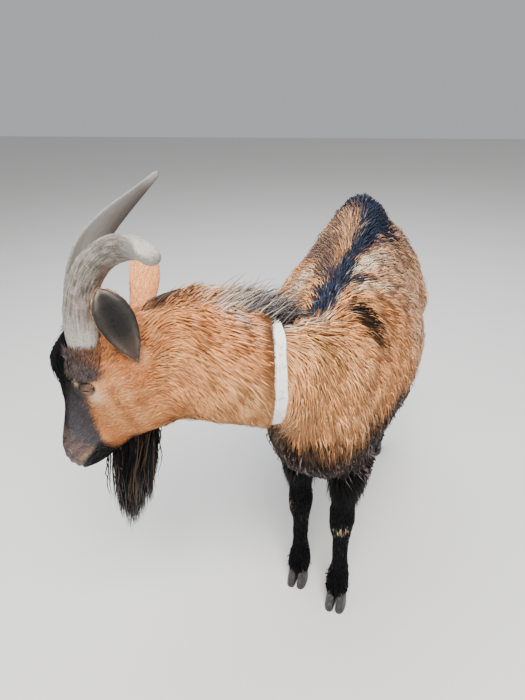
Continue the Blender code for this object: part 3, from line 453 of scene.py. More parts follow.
def trunk_markings(colours, points, area, fine):
    x, y, z = points.T
    body = area["trunk"] + area["tail"] + area["neck"] * step(0.05, 0.0, neck_turn(points)[0])
    both = x + (np.abs(x) - x) * step(0.0, 0.2, y)
    flank = step(0.00, 0.12, both) * step(-0.16, 0.0, y) * step(0.50, 0.60, z)
    tint(colours, FLANK, body * flank * (0.62 + 0.2 * fine))
    high = step(0.04, 0.14, y) * step(0.70, 0.80, z)
    tint(colours, (0.37, 0.225, 0.15), body * high * (0.70 + 0.2 * fine))
    low = step(0.62, 0.50, z) * step(-0.30, 0.0, y)
    tint(colours, FLANK, body * low * 0.5)
    tint(colours, LIGHT_TAN, body * 0.40 * step(-0.22, -0.34, y) * step(0.52, 0.60, z))
    top = body * step(0.68, 0.76, z)
    fuzz = 0.006 * fine
    for colour, strength, lines in TOP_STROKES:
        for line in lines:
            tint(colours, colour, top * strength * stroke(points, line, fuzz))
    croup = stroke(points, ((-0.070, 0.330, 0.915, 0.026), (0.005, 0.350, 0.930, 0.042),
                            (0.080, 0.310, 0.900, 0.036)), fuzz)
    wedge = stroke(points, ((-0.055, -0.262, 0.812, 0.016), (-0.063, -0.300, 0.803, 0.011),
                            (-0.072, -0.340, 0.795, 0.006)), 0.3 * fuzz)
    # Croup and the narrow wedge towards the collar: black hair with a painted blue sky sheen
    tint(colours, BLACK_WITH_SKY_SHEEN, body * np.maximum(croup, wedge) * 0.95)
    # Painted shade: the top of the rump on the right side darker, except on the croup's black
    right_rump_shade = top * step(0.02, 0.12, y) * step(0.01, -0.05, x)
    tint(colours, (0.30, 0.175, 0.115), right_rump_shade * 0.45 * (1 - croup))
    streak, share = to_path(points, ((0.110, -0.262, 0.735), (0.098, -0.330, 0.690), (0.104, -0.345, 0.576)))
    tint(colours, SOOT, body * bump(streak, 0.022) * (0.22 + 0.30 * share))
    elbow = bump(x - 0.105, 0.045) * step(-0.02, -0.12, y) * step(-0.36, -0.28, y)
    edge = 0.562 + 0.040 * step(0.075, -0.075, x) * step(-0.28, -0.38, y) + 0.012 * fine + 0.045 * elbow
    brown = body * step(edge + 0.075, edge + 0.010, z) * step(0.02, -0.10, y)
    tint(colours, BROWN, brown * (0.45 + 0.3 * fine))
    shaggy = body * step(edge + 0.030, edge - 0.025, z)
    tint(colours, BLACK, shaggy * 0.97)


def neck_markings(colours, points, area, fine):
    along, turn = neck_turn(points)
    neck = area["neck"]
    tint(colours, LIGHT_TAN, neck * 0.45 * step(0.20, 0.06, along) * step(40, 80, np.abs(turn)))
    crest = step(48, 16, np.abs(turn + 6))
    tint(colours, DEEP_TAN, neck * 0.35 * bump(along - 0.13, 0.05) * crest)
    poll = stroke(points, ((-0.320, -0.425, 0.900, 0.024), (-0.262, -0.478, 0.925, 0.024),
                           (-0.215, -0.480, 0.925, 0.010)), 0.005 * fine)
    tint(colours, (0.022, 0.019, 0.022), (neck + area["head"]) * poll * 0.90)
    pale = stroke(points, ((-0.152, -0.455, 0.908, 0.014), (-0.118, -0.455, 0.888, 0.026),
                           (-0.088, -0.460, 0.858, 0.022)), 0.008 * fine)
    tint(colours, (0.74, 0.68, 0.62), (neck + area["trunk"]) * pale * (0.55 + 0.35 * fine))
    throat = neck * step(132, 160, np.abs(turn))
    tint(colours, BROWN, throat * (0.55 + 0.3 * fine))


def leg_markings(colours, points, area):
    y, z = points[:, 1], points[:, 2]
    fore = step(0.0, -0.1, y)
    hind = step(0.05, 0.15, y)
    black = fore * step(0.475, 0.430, z) + hind * step(0.50, 0.44, z)
    tint(colours, BLACK, (area["leg"] + area["trunk"]) * black)
    for centre, radius in (((0.064, -0.316, 0.252), 0.013), ((-0.078, -0.262, 0.266), 0.011)):
        away = np.linalg.norm((points - centre) * (0.8, 1.0, 1.5), axis=1)
        tint(colours, STRAW, 0.85 * step(radius * 1.3, radius * 0.7, away))


def head_markings(colours, points, area, fine):
    head = to_head(points)
    left_side = mirrored(head)
    ahead, up, out = left_side.T
    weight = area["head"]
    edge = np.interp(ahead, [row[0] for row in FACE_EDGE], [row[1] for row in FACE_EDGE])
    tint(colours, DEEP_TAN, weight * (0.30 + 0.12 * fine))
    tint(colours, DEEP_TAN, weight * 0.45 * step(0.150, 0.195, ahead) * step(-0.02, -0.05, up))
    dark = weight * step(-0.014, 0.009, up - edge + 0.003 * fine) * step(-0.02, 0.03, ahead)
    tint(colours, BLACK, dark)
    brow = dark * step(0.020, 0.045, out) * step(0.045, 0.07, ahead) * step(0.125, 0.11, ahead)
    tint(colours, (0.135, 0.105, 0.105), brow * (0.70 + 0.3 * waves(points, 0.012, 4)))
    rust = dark * step(0.032, 0.050, out) * step(0.030, 0.045, ahead) * step(0.085, 0.070, ahead)
    tint(colours, (0.30, 0.140, 0.070), rust * (0.55 + 0.5 * waves(points, 0.014, 5)))
    tint(colours, SOOT, dark * step(0.12, 0.16, ahead) * step(0.012, 0.030, out) * 0.80)
    nose = weight * step(0.225, 0.255, ahead) * step(-0.085, -0.065, up)
    tint(colours, (0.20, 0.130, 0.115), nose * (0.60 + 0.35 * waves(points, 0.016, 3)))
    chin = weight * step(0.205, 0.235, ahead) * step(-0.075, -0.085, up)
    tint(colours, BLACK, chin)
    jaw = weight * step(0.165, 0.20, ahead) * step(-0.118, -0.135, up)
    tint(colours, BLACK, jaw)
    lip, _ = to_path(left_side, ((0.240, -0.074, 0.042), (0.277, -0.068, 0.036)))
    tint(colours, (0.46, 0.30, 0.165), weight * 0.9 * bump(lip, 0.0038))
    brow_line, _ = to_path(left_side, ((0.110, 0.036, 0.046), (0.128, 0.013, 0.057)))
    tint(colours, (0.72, 0.55, 0.37), weight * 0.9 * bump(brow_line, 0.0048))
    patch = np.linalg.norm((left_side - (0.130, -0.028, 0.061)) * (1.0, 1.0, 0.5), axis=1)
    tint(colours, (0.86, 0.66, 0.44), weight * 0.80 * bump(patch, 0.0150))
    over_slit = (left_side - np.array(EYE)) @ np.array(SLIT_UP)
    across_slit = np.abs(over_slit)
    lids = weight * step(0.0200, 0.0160, eye_distance(head))
    above = step(-0.001, 0.003, over_slit)
    tint(colours, (0.20, 0.135, 0.092), lids * 0.75 * (1 - above))
    tint(colours, (0.016, 0.013, 0.013), lids * 0.93 * above)
    tint(colours, (0.06, 0.05, 0.046), lids * bump(across_slit - 0.0068, 0.0016) * 0.40)
    tint(colours, (0.018, 0.014, 0.013), lids * step(0.0052, 0.0030, across_slit))
    crown = weight * step(0.045, 0.03, out) * step(0.01, 0.03, ahead) * step(0.0, 0.02, up)
    tint(colours, BLACK, crown)


def lie(points, normals):
    """Direction in which the hair lies at each point, before it is laid on the surface."""
    x, y, z = points.T
    area = regions(points)
    down = np.array((0.0, 0.0, -1.0))
    turn = np.arctan2(x, z - AXIS_HEIGHT)
    slope = np.abs(np.sin(turn))
    fan = 0.25 + 0.50 * step(-0.02, -0.20, y) * step(0.8, 0.2, slope)
    away = np.sign(x) * step(0.0, 0.03, np.abs(x)) * (fan + 0.20 * slope)
    back = np.stack((away, 0.70 - 0.15 * slope, -0.95 * slope - 0.03), axis=1)
    front = step(-0.24, -0.38, y)[:, None]
    trunk = back * (1 - front) + (down + np.stack((0.25 * np.sign(x), 0.15 + 0 * x, 0 * x), axis=1)) * front
    rump = step(0.36, 0.43, y)[:, None]
    trunk = trunk * (1 - rump) + (down + np.array((0, 0.25, 0))) * rump
    along, around = neck_turn(points)
    fall = step(10, 110, np.abs(around))[:, None]
    neck = -np.array(NECK_AXIS) * (1 - 0.55 * fall) + down * (0.10 + 0.80 * fall)
    head = to_head(points)
    cheek = step(0.02, -0.09, head[:, 1])
    face = np.stack((-1 + 0 * x, 0.10 - 0.75 * cheek, 0.28 * np.sign(head[:, 2]) * (1 - cheek)), axis=1)
    face = from_head(face)
    leg = down + np.array((0.0, 0.06, 0.0))
    tail = np.stack((np.sign(x) * 0.35, 0.45 + 0 * x, -0.8 + 0 * x), axis=1)
    ways = {"head": face, "neck": neck, "tail": tail, "leg": leg, "trunk": trunk}
    total = sum(area[name][:, None] * unit(way) for name, way in ways.items())
    return laid(total, normals)


def from_ears(head):
    """Distance of points in the head's frame from the nearer ear's notch."""
    return np.min([np.linalg.norm(head - ear_axes(side)[0], axis=1) for side in EARS], axis=0)


def coat_length(points):
    """Length of the hair at each point."""
    x, y, z = points.T
    area = regions(points)
    head = to_head(points)
    along, turn = neck_turn(points)
    trunk = 0.078 + 0.008 * step(0.60, 0.50, z) + 0.006 * step(0.80, 0.86, z)
    trunk = trunk + 0.008 * step(-0.30, -0.40, y) * step(0.62, 0.55, z)
    neck = 0.062 - 0.026 * step(0.11, 0.20, along) + 0.010 * step(60, 20, np.abs(turn))
    neck = neck + 0.014 * step(115, 160, np.abs(turn))
    leg = 0.022 + 0.040 * step(0.34, 0.43, z) + 0.022 * step(0.10, 0.06, z)
    face = 0.0058 + 0.012 * step(0.23, 0.14, head[:, 0]) + 0.016 * step(0.11, -0.02, head[:, 0])
    face = face + 0.004 * step(-0.09, -0.15, head[:, 1]) + 0.034 * jaw_weight(head)
    face = np.minimum(face, 0.0030 + 0.35 * np.maximum(eye_distance(head) - 0.019, 0.0))
    face = np.minimum(face, 0.006 + 0.6 * np.maximum(from_ears(head) - 0.020, 0.0))
    parts = {"head": face, "neck": neck, "tail": 0.036 + 0 * x, "leg": leg, "trunk": trunk}
    return sum(area[name] * value for name, value in parts.items())


# Mesh tools


def read(items, name, size, kind=np.float32):
    values = np.empty(len(items) * size, kind)
    items.foreach_get(name, values)
    return values.reshape(-1, size) if size > 1 else values


def new_object(name, mesh, material):
    made = bpy.data.objects.new(name, mesh)
    bpy.context.scene.collection.objects.link(made)
    if material:
        mesh.materials.append(material)
    mesh.shade_smooth()
    return made


def from_bmesh(name, bm, material=None, moved=True):
    """An object from a bmesh, in the solids' frame unless it is only a stage of the work."""
    bm.normal_update()
    bmesh.ops.recalc_face_normals(bm, faces=bm.faces)
    if moved:
        bmesh.ops.translate(bm, verts=bm.verts, vec=SHIFT)
    mesh = bpy.data.meshes.new(name)
    bm.to_mesh(mesh)
    bm.free()
    return new_object(name, mesh, material)


def loft(bm, rings, cap=True):
    """Joins rings of equal count into one closed body. Each ring is a list of points."""
    loops = []
    corners = []
    for points in rings:
        made = bmesh.ops.create_circle(bm, cap_ends=False, segments=len(points), radius=1.0)
        for vertex, point in zip(made["verts"], points):
            vertex.co = point
        corners.append(made["verts"])
        loops.append(list({edge for vertex in made["verts"] for edge in vertex.link_edges}))
    for lower, upper in zip(loops, loops[1:]):
        bmesh.ops.bridge_loops(bm, edges=lower + upper)
    if cap:
        for end in (loops[0], loops[-1]):
            bmesh.ops.contextual_create(bm, geom=end)
    return corners


def signed_power(value, power):
    return math.copysign(abs(value) ** power, value)


def section(centre, side, up, half_width, above, below, sides=16, power=1.0, below_power=None):
    """Points of one ring, egg-shaped where above and below differ. A power under 1 makes it fuller."""
    points = []
    for angle in angles(sides):
        bend = below_power if below_power and math.sin(angle) < 0 else power
        across = signed_power(math.cos(angle), bend)
        rise = signed_power(math.sin(angle), bend)
        points.append(centre + side * half_width * across + up * (above if rise > 0 else below) * rise)
    return points


def path_frames(points, up_hint):
    """Side and up directions of the ring at each point of a path."""
    frames = []
    for index, _ in enumerate(points):
        before = points[max(index - 1, 0)]
        after = points[min(index + 1, len(points) - 1)]
        along = (after - before).normalized()
        side = along.cross(up_hint).normalized()
        frames.append((side, side.cross(along).normalized()))
    return frames


def tube(bm, points, sizes, up_hint, sides=12):
    """Closed body along a path. Each size is half width, reach above and reach below."""
    rings = []
    for point, (side, up), (width, above, below) in zip(points, path_frames(points, up_hint), sizes):
        rings.append(section(point, side, up, width, above, below, sides))
    loft(bm, rings)


def evaluate(target):
    """Applies the modifiers of an object."""
    bpy.context.view_layer.update()
    graph = bpy.context.evaluated_depsgraph_get()
    mesh = bpy.data.meshes.new_from_object(target.evaluated_get(graph))
    target.modifiers.clear()
    target.data = mesh


def paint(mesh, name, colours):
    """Stores a colour for each vertex."""
    layer = mesh.color_attributes.new(name, "BYTE_COLOR", "POINT")
    values = np.ones((len(mesh.vertices), 4), np.float32)
    values[:, :3] = np.clip(colours, 0.0, 1.0)
    layer.data.foreach_set("color", values.ravel())


# Skin


def add_trunk(bm):
    rings = []
    for y, top, bottom, half_width, widest in TRUNK:
        rump = min(max((y - 0.06) / 0.16, 0.0), 1.0)
        centre = Vector((RUMP_SHIFT * rump, y, widest))
        above = top - widest - TRUNK_COAT
        below = widest - bottom - TRUNK_COAT
        power = 1.0 + RUMP_SLOPE * rump
        rings.append(section(centre, X_AXIS, Z_AXIS, half_width - TRUNK_COAT, above, below, 24, power, 0.85))
    loft(bm, rings)


def add_thigh(bm, sign):
    path = ((0.062, 0.270, 0.840), (0.094, 0.290, 0.740), (0.120, 0.292, 0.640), (0.118, 0.285, 0.550),
            (0.112, 0.285, 0.480))
    sizes = ((0.022, 0.070, 0.072), (0.058, 0.126, 0.118), (0.070, 0.140, 0.122), (0.058, 0.118, 0.097),
             (0.046, 0.090, 0.072))
    points = [Vector((sign * x, y, z)) for x, y, z in path]
    tube(bm, points, sizes, Y_AXIS, 16)


def add_neck(bm):
    sizes = [[size - (0.006 if row[0] is NECK_NARROWEST else NECK_COAT) for size in row[1:]] for row in NECK]
    tube(bm, [row[0] for row in NECK], sizes, Z_AXIS, 20)


def add_skull(bm):
    side = HEAD.to_3x3() @ Z_AXIS
    up = HEAD.to_3x3() @ Y_AXIS
    rings = []
    for ahead, top, bottom, half_width, widest in SKULL:
        coat = SKULL_COAT * float(step(0.29, 0.10, ahead)) + 0.0008
        centre = HEAD @ Vector((ahead, widest, 0))
        above = top - widest - coat
        rings.append(section(centre, side, up, half_width - coat, above, widest - bottom - coat, 24))
    loft(bm, rings)


def between(first, second, share, ahead=0.0):
    x, y = [a + (b - a) * share for a, b in zip(first, second)]
    return x, y - ahead


def fore_rows(spot):
    """Centres and half sizes down a foreleg."""
    top, knee, toe = spot["top"], spot["knee"], spot["toe"]
    low = (knee[0], knee[1] - 0.003)
    crown = (toe[0], toe[1] + 0.018)
    return (
        (0.580, top, 0.044, 0.075),
        (0.500, between(top, knee, 0.30), 0.040, 0.058),
        (0.440, between(top, knee, 0.55), 0.034, 0.045),
        (0.390, between(top, knee, 0.75), 0.028, 0.034),
        (0.340, between(top, knee, 0.92), 0.025, 0.029),
        (0.305, knee, 0.0235, 0.0255),
        (KNEE_HEIGHT, knee, 0.0245, 0.0265),
        (0.252, knee, 0.0215, 0.0225),
        (0.228, knee, 0.0175, 0.0185),
        (0.190, knee, 0.0160, 0.0175),
        (0.130, low, 0.0160, 0.0175),
        (FETLOCK_HEIGHT, low, 0.0210, 0.0230),
        (0.070, between(low, crown, 0.5), 0.0200, 0.0215),
        (CORONET_HEIGHT + 0.001, crown, 0.0228, 0.0252),
        (CORONET_HEIGHT - 0.010, crown, 0.0180, 0.0200),
    )


def hind_rows(spot):
    """Centres and half sizes down a hind leg."""
    top, hock, toe = spot["top"], spot["hock"], spot["toe"]
    low = (hock[0], hock[1] - 0.008)
    crown = (toe[0], toe[1] + 0.020)
    return (
        (0.600, top, 0.058, 0.105),
        (0.520, between(top, hock, 0.10, 0.012), 0.048, 0.086),
        (0.460, between(top, hock, 0.34, 0.016), 0.039, 0.064),
        (0.410, between(top, hock, 0.62, 0.014), 0.031, 0.046),
        (0.360, between(top, hock, 0.86, 0.006), 0.025, 0.036),
        (HOCK_HEIGHT, hock, 0.024, 0.033),
        (0.260, hock, 0.0205, 0.026),
        (0.200, hock, 0.0170, 0.020),
        (0.130, low, 0.0165, 0.019),
        (FETLOCK_HEIGHT, low, 0.0215, 0.024),
        (0.070, between(low, crown, 0.5), 0.0205, 0.022),
        (CORONET_HEIGHT + 0.001, crown, 0.0232, 0.0255),
        (CORONET_HEIGHT - 0.010, crown, 0.0180, 0.0200),
    )


def add_leg(bm, rows):
    rings = []
    for height, (x, y), half_width, half_depth in rows:
        centre = Vector((x, y, height))
        rings.append(section(centre, X_AXIS, Y_AXIS, half_width, half_depth, half_depth, 16))
    loft(bm, rings)


def horn_frame(side):
    """Directions along a horn's root, towards its front and across it."""
    axis = (horn_point(HORNS[side], 0.03) - HORN_ROOT).normalized()
    forward = Z_AXIS.cross(axis).normalized()
    return axis, forward, axis.cross(forward)


def add_horn_stem(bm, side):
    """The stump of bone and skin that carries a horn and ends inside it."""
    sign = SIGNS[side]
    axis, forward, across = horn_frame(side)
    rows = ((-0.062, 0.010), (-0.046, 0.0065), (-0.032, 0.0035), (-0.020, 0.0010), (-0.008, -0.004))
    rings = []
    for along, grow_by in rows:
        ring = []
        for angle in angles(20):
            flat = forward * math.cos(angle) * (HORN_DEPTH / 2 + grow_by)
            flat += across * math.sin(angle) * (HORN_BREADTH / 2 + grow_by)
            ring.append(HEAD @ on_side(HORN_ROOT + axis * along + flat, sign))
        rings.append(ring)
    loft(bm, rings)


def body_form():
    """The body without its coat, melted into one surface."""
    bm = bmesh.new()
    add_trunk(bm)
    for sign in SIGNS.values():
        add_thigh(bm, sign)
    add_neck(bm)
    add_skull(bm)
    for side in SIGNS:
        add_horn_stem(bm, side)
    for spot in FORE_LEGS.values():
        add_leg(bm, fore_rows(spot))
    for spot in HIND_LEGS.values():
        add_leg(bm, hind_rows(spot))
    tube(bm, [row[0] for row in TAIL], [(w, t, t) for _, w, t in TAIL], X_AXIS, 12)
    made = from_bmesh("skin", bm, moved=False)
    remesh = made.modifiers.new("Remesh", "REMESH")
    remesh.mode = "VOXEL"
    remesh.voxel_size = BODY_VOXEL
    smooth = made.modifiers.new("Smooth", "SMOOTH")
    smooth.factor = 0.5
    smooth.iterations = BODY_SMOOTHING
    evaluate(made)
    return made


def refine(bm, chosen):
    """Halves the faces whose middle is chosen."""
    edges = {edge for face in bm.faces if chosen(face.calc_center_median()) for edge in face.edges}
    bmesh.ops.subdivide_edges(bm, edges=list(edges), cuts=1, use_grid_fill=True, smooth=0.0)


def on_head(point):
    return (point - HEAD_START).dot(HEAD_START_AXIS) > 0.005


def on_face(point):
    local = HEAD.inverted() @ point
    near_eye = Vector((local.x, local.y, abs(local.z))) - EYE
    return on_head(point) and (local.x > 0.225 or near_eye.length < 0.036)


def mouth_line(ahead):
    line = MOUTH_CORNER.y + (MOUTH_FRONT.y - MOUTH_CORNER.y) * np.clip((ahead - 0.250) / 0.062, 0, 1)
    return line + 0.004 * bump(ahead - 0.268, 0.012)


def shape_face(points, normals):
    """Moves points of the head to form sockets, brows, mouth, lips, nostrils and cheeks."""
    head = to_head(points)
    weight = regions(points)["head"]
    left_side = mirrored(head)
    ahead, up, out = left_side.T
    move = np.zeros(len(points))
    from_eye = left_side - np.array(EYE)
    outwards = from_eye @ np.array(EYE_OUT)
    flat_eye = np.linalg.norm(from_eye - outwards[:, None] * np.array(EYE_OUT), axis=1)
    flat_eye += step(0.0, -0.01, outwards) * 0.1
    move -= 0.0130 * step(0.0150, 0.0112, flat_eye)
    move += 0.0030 * bump(eye_distance(head) - 0.024, 0.0055) * step(-0.002, 0.012, up - EYE.y)
    move -= 0.0030 * bump(np.linalg.norm(left_side - (0.152, -0.012, 0.050), axis=1), 0.014)
    cheek = np.linalg.norm((left_side - (0.075, -0.110, 0.070)) * (0.7, 0.8, 1.0), axis=1)
    move += 0.0040 * bump(cheek, 0.045)
    jaw = np.linalg.norm((left_side - (0.165, -0.080, 0.055)) * (0.6, 1.2, 1.0), axis=1)
    move -= 0.0025 * bump(jaw, 0.028)
    line = mouth_line(ahead)
    mouth = step(0.243, 0.256, ahead) * weight
    move -= 0.0050 * mouth * bump(up - line, 0.0017)
    move += 0.0022 * mouth * (bump(up - line - 0.0060, 0.0040) + bump(up - line + 0.0055, 0.0036))
    slit, _ = to_path(left_side, (NOSTRIL_FRONT, NOSTRIL_BACK))
    move -= 0.0085 * bump(slit, 0.0030)
    move += 0.0024 * bump(slit - 0.0068, 0.0030) * step(0.262, 0.275, ahead)
    move -= 0.0022 * bump(out, 0.0016) * step(0.288, 0.298, ahead) * step(-0.082, -0.074, up)
    return points + normals * (move * weight)[:, None]


def lid(bm, sign, upper):
    """One eyelid: a curved band from its edge over the eyeball out to the socket's rim."""
    edge_rise = 0.0020 if upper else -0.0013
    reach = 0.0172 if upper else -0.0166
    across = 21
    outer = []
    inner = []
    for row in range(13):
        share = row / 12
        fold = 0.0010 * float(bump(share - 0.34, 0.09)) + 0.0007 * float(bump(share - 0.62, 0.08))
        rim = 0.0010 * float(bump(share, 0.13))
        line_out = []
        line_in = []
        for index in range(across):
            along = -1 + 2 * index / (across - 1)
            bow = 1 - along * along
            rise = edge_rise * bow
            away = rise + (reach * (0.35 + 0.65 * bow ** 0.5) - rise) * share
            flat = SLIT_ALONG * along * (SLIT_HALF + 0.004 * share) + SLIT_UP * away
            lift = math.sqrt(max((EYE_RADIUS + 0.0022) ** 2 - flat.length_squared, 0.0))
            spot = flat + EYE_OUT * (max(lift, 0.0040) - fold + rim - 0.002 * share ** 3)
            line_out.append(spot)
            line_in.append(spot * 0.93 - EYE_OUT * 0.0012)
        outer.append(line_out)
        inner.append(line_in)
    rings = []
    for index in range(across):
        ring = [line[index] for line in outer] + [line[index] for line in inner[::-1]]
        rings.append([HEAD @ on_side(spot + EYE, sign) for spot in ring])
    loft(bm, rings)


def ear_ring(centre, across, face, half, roll, steps=14):
    """Outline of one slice of the ear: an arc of sheet with the cup's inside towards the face."""
    radius = half / math.sin(min(roll / 2, math.pi / 2))
    outer = []
    inner = []
    for index in range(steps + 1):
        angle = roll * (index / steps - 0.5)
        rim = 1 - 0.6 * abs(2 * index / steps - 1) ** 8
        for reach, store in ((radius, outer), (radius - EAR_THICKNESS * rim, inner)):
            middle = centre + face * radius * math.cos(roll / 2)
            store.append(middle + across * reach * math.sin(angle) - face * reach * math.cos(angle))
    return outer + inner[::-1]


def add_ear(bm, side):
    """A leaf-shaped ear, rolled into a cup that closes towards its root."""
    sign = SIGNS[side]
    notch, tip, opening = [on_side(place, sign) for place in EARS[side]]
    along = (tip - notch).normalized()
    face = (opening - along * opening.dot(along)).normalized()
    across = along.cross(face)
    length = (tip - notch).length - 0.003
    rings = []
    steps = 26
    for index in range(steps + 1):
        share = index / steps
        half = (EAR_WIDTH / 2 - 0.0005) * float(np.interp(share, EAR_SHARES, EAR_LEAF[side]))
        roll = math.radians(150 - 100 * share ** 0.7 + 5 * math.sin(9 * share))
        centre = notch + along * (length * share - EAR_BURIED[side] * (1 - share) ** 2)
        centre += Vector((0, 0, sign * 0.007)) - face * 0.010 * math.sin(math.pi * share)
        rings.append([HEAD @ point for point in ear_ring(centre, across, face, half, roll)])
    loft(bm, rings)


def unwrap(item):
    bpy.context.view_layer.objects.active = item
    item.select_set(True)
    bpy.ops.object.mode_set(mode="EDIT")
    bpy.ops.mesh.select_all(action="SELECT")
    bpy.ops.uv.smart_project(angle_limit=math.radians(72), island_margin=0.001)
    bpy.ops.object.mode_set(mode="OBJECT")
    item.data.uv_layers[0].name = BAKE_MAP
    item.select_set(False)


def smooth_field(field, edges, rounds):
    """Averages vectors with their neighbours over a mesh."""
    count = np.ones(len(field))
    np.add.at(count, edges[:, 0], 1)
    np.add.at(count, edges[:, 1], 1)
    for _ in range(rounds):
        total = field.copy()
        for axis in range(field.shape[1]):
            total[:, axis] += np.bincount(edges[:, 0], field[edges[:, 1], axis], len(field))
            total[:, axis] += np.bincount(edges[:, 1], field[edges[:, 0], axis], len(field))
        field = total / count[:, None]
    return field


def make_skin():
    """One skin over the whole body, with ears and lids, its markings and its unwrap."""
    form = body_form()
    bm = bmesh.new()
    bm.from_mesh(form.data)
    refine(bm, on_head)
    refine(bm, on_face)
    fine = [vertex for vertex in bm.verts if on_head(vertex.co)]
    for _ in range(3):
        bmesh.ops.smooth_vert(bm, verts=fine, factor=0.5, use_axis_x=True, use_axis_y=True, use_axis_z=True)
    bm.normal_update()
    points = np.array([vertex.co for vertex in bm.verts])
    normals = np.array([vertex.normal for vertex in bm.verts])
    shaped = shape_face(points, normals)
    for vertex, place in zip(bm.verts, shaped):
        vertex.co = place
    bpy.data.objects.remove(form)
    body_count = len(bm.verts)
    for side in SIGNS:
        add_ear(bm, side)
    ear_count = len(bm.verts)
    for sign in SIGNS.values():
        lid(bm, sign, True)
        lid(bm, sign, False)
    bmesh.ops.triangulate(bm, faces=[face for face in bm.faces if len(face.verts) > 4])
    made = from_bmesh("skin", bm, skin_material())
    mesh = made.data
    unwrap(made)
    points = read(mesh.vertices, "co", 3) - np.array(SHIFT)
    normals = read(mesh.vertices, "normal", 3)
    flow = lie(points, normals)
    flow = smooth_field(flow, read(mesh.edges, "vertices", 2, np.int32), FLOW_SMOOTHING)
    flow = laid(flow, normals)
    on_ear = np.zeros(len(points))
    on_ear[body_count:ear_count] = 1.0
    layer = mesh.attributes.new("Ear", "FLOAT", "POINT")
    layer.data.foreach_set("value", on_ear)
    layer = mesh.attributes.new("Lie", "FLOAT_VECTOR", "POINT")
    layer.data.foreach_set("vector", flow.astype(np.float32).ravel())
    area = regions(points)
    ahead = to_head(points)[:, 0]
    # Painted shade: the skin's colour dimmed to 0.45 under the coat, and only to 0.85 on the front of the face
    # and on the legs
    under = 0.45 + 0.40 * np.maximum(area["head"] * step(0.0, 0.10, ahead), area["leg"])
    paint(mesh, "Markings", ear_colours(points, normals, markings(points) * under[:, None], on_ear))
    return made


def ear_axes(side):
    return [np.array(on_side(place, SIGNS[side])) for place in EARS[side]]


def in_ear(points):
    """For each ear: how far a point is along it, and whether it belongs to it."""
    head = to_head(points)
    found = {}
    for side in EARS:
        notch, tip, opening = ear_axes(side)
        along = tip - notch
        length = np.linalg.norm(along)
        along = along / length
        away = head - notch
        share = away @ along / length
        flat = np.linalg.norm(away - (away @ along)[:, None] * along, axis=1)
        found[side] = (share, (share > -0.30) & (share < 1.10) & (flat < 0.060), opening, along)
    return found


def ear_colours(points, normals, colours, on_ear):
    """Ears are tan outside, pale at the rim and dark inside, darkest down the middle of the cup, where shade is
    painted into its hollow.
    """
    inward = normals @ HEAD_AXES
    for share, near, opening, along in in_ear(points).values():
        inside = near & (on_ear > 0.5)
        ways = unit(opening - along * (opening @ along))
        facing = inward @ ways
        half_roll = np.radians(75 - 50 * np.clip(share, 0, 1) ** 0.7)
        lateral = np.arccos(np.clip(facing, -1, 1)) / half_roll
        shown = step(0.02, 0.20, facing) * inside
        tan = mix(np.tile(np.array(TAN), (len(points), 1)), DEEP_TAN, 0.3 * step(0.5, 0.0, share))
        colours = np.where(inside[:, None], tan, colours)
        # Dark inside the cup, lighter towards its sides and left darkest down the middle: painted shade of the
        # hollow
        tint(colours, DARK_EAR_AND_CUP_SHADE, shown)
        tint(colours, (0.042, 0.036, 0.030), shown * step(0.20, 0.80, lateral) * 0.95)
        tint(colours, (0.070, 0.040, 0.028), shown * step(0.40, 0.10, share) * 0.6)
        tint(colours, (0.52, 0.45, 0.39), inside * bump(lateral - 1.02, 0.20) * 0.9)
    return colours


# Materials


def nodes_of(name, roughness):
    made = bpy.data.materials.new(name)
    made.use_nodes = True
    shader = made.node_tree.nodes["Principled BSDF"]
    shader.inputs["Roughness"].default_value = roughness
    return made, made.node_tree, shader


def add_node(tree, kind, **values):
    node = tree.nodes.new(kind)
    for name, value in values.items():
        if name in node.inputs.keys():
            node.inputs[name].default_value = value
        else:
            setattr(node, name, value)
    return node


def ramp(tree, source, stops):
    node = tree.nodes.new("ShaderNodeValToRGB")
    while len(node.color_ramp.elements) < len(stops):
        node.color_ramp.elements.new(0.5)
    for element, (place, colour) in zip(node.color_ramp.elements, stops):
        element.position = place
        element.color = (*colour, 1.0)
    tree.links.new(source, node.inputs["Fac"])
    return node.outputs["Color"]


def stretched_noise_group():
    """Shared group: noise with its own number of features for each metre along each axis."""
    name = "Stretched noise"
    found = bpy.data.node_groups.get(name)
    if found:
        return found
    group = bpy.data.node_groups.new(name, "ShaderNodeTree")
    for label in ("Place", "Stretch"):
        group.interface.new_socket(label, in_out="INPUT", socket_type="NodeSocketVector")
    for label in ("Detail", "Roughness"):
        group.interface.new_socket(label, in_out="INPUT", socket_type="NodeSocketFloat")
    group.interface.new_socket("Height", in_out="OUTPUT", socket_type="NodeSocketFloat")
    start = group.nodes.new("NodeGroupInput")
    end = group.nodes.new("NodeGroupOutput")
    mapped = group.nodes.new("ShaderNodeMapping")
    noise = add_node(group, "ShaderNodeTexNoise", Scale=1.0)
    group.links.new(start.outputs["Place"], mapped.inputs["Vector"])
    group.links.new(start.outputs["Stretch"], mapped.inputs["Scale"])
    group.links.new(mapped.outputs["Vector"], noise.inputs["Vector"])
    group.links.new(start.outputs["Detail"], noise.inputs["Detail"])
    group.links.new(start.outputs["Roughness"], noise.inputs["Roughness"])
    group.links.new(noise.outputs["Fac"], end.inputs["Height"])
    return group


def stretched_noise(tree, place, stretch, detail, roughness=0.5):
    node = tree.nodes.new("ShaderNodeGroup")
    node.node_tree = stretched_noise_group()
    tree.links.new(place, node.inputs["Place"])
    node.inputs["Stretch"].default_value = stretch
    node.inputs["Detail"].default_value = detail
    node.inputs["Roughness"].default_value = roughness
    return node.outputs["Height"]


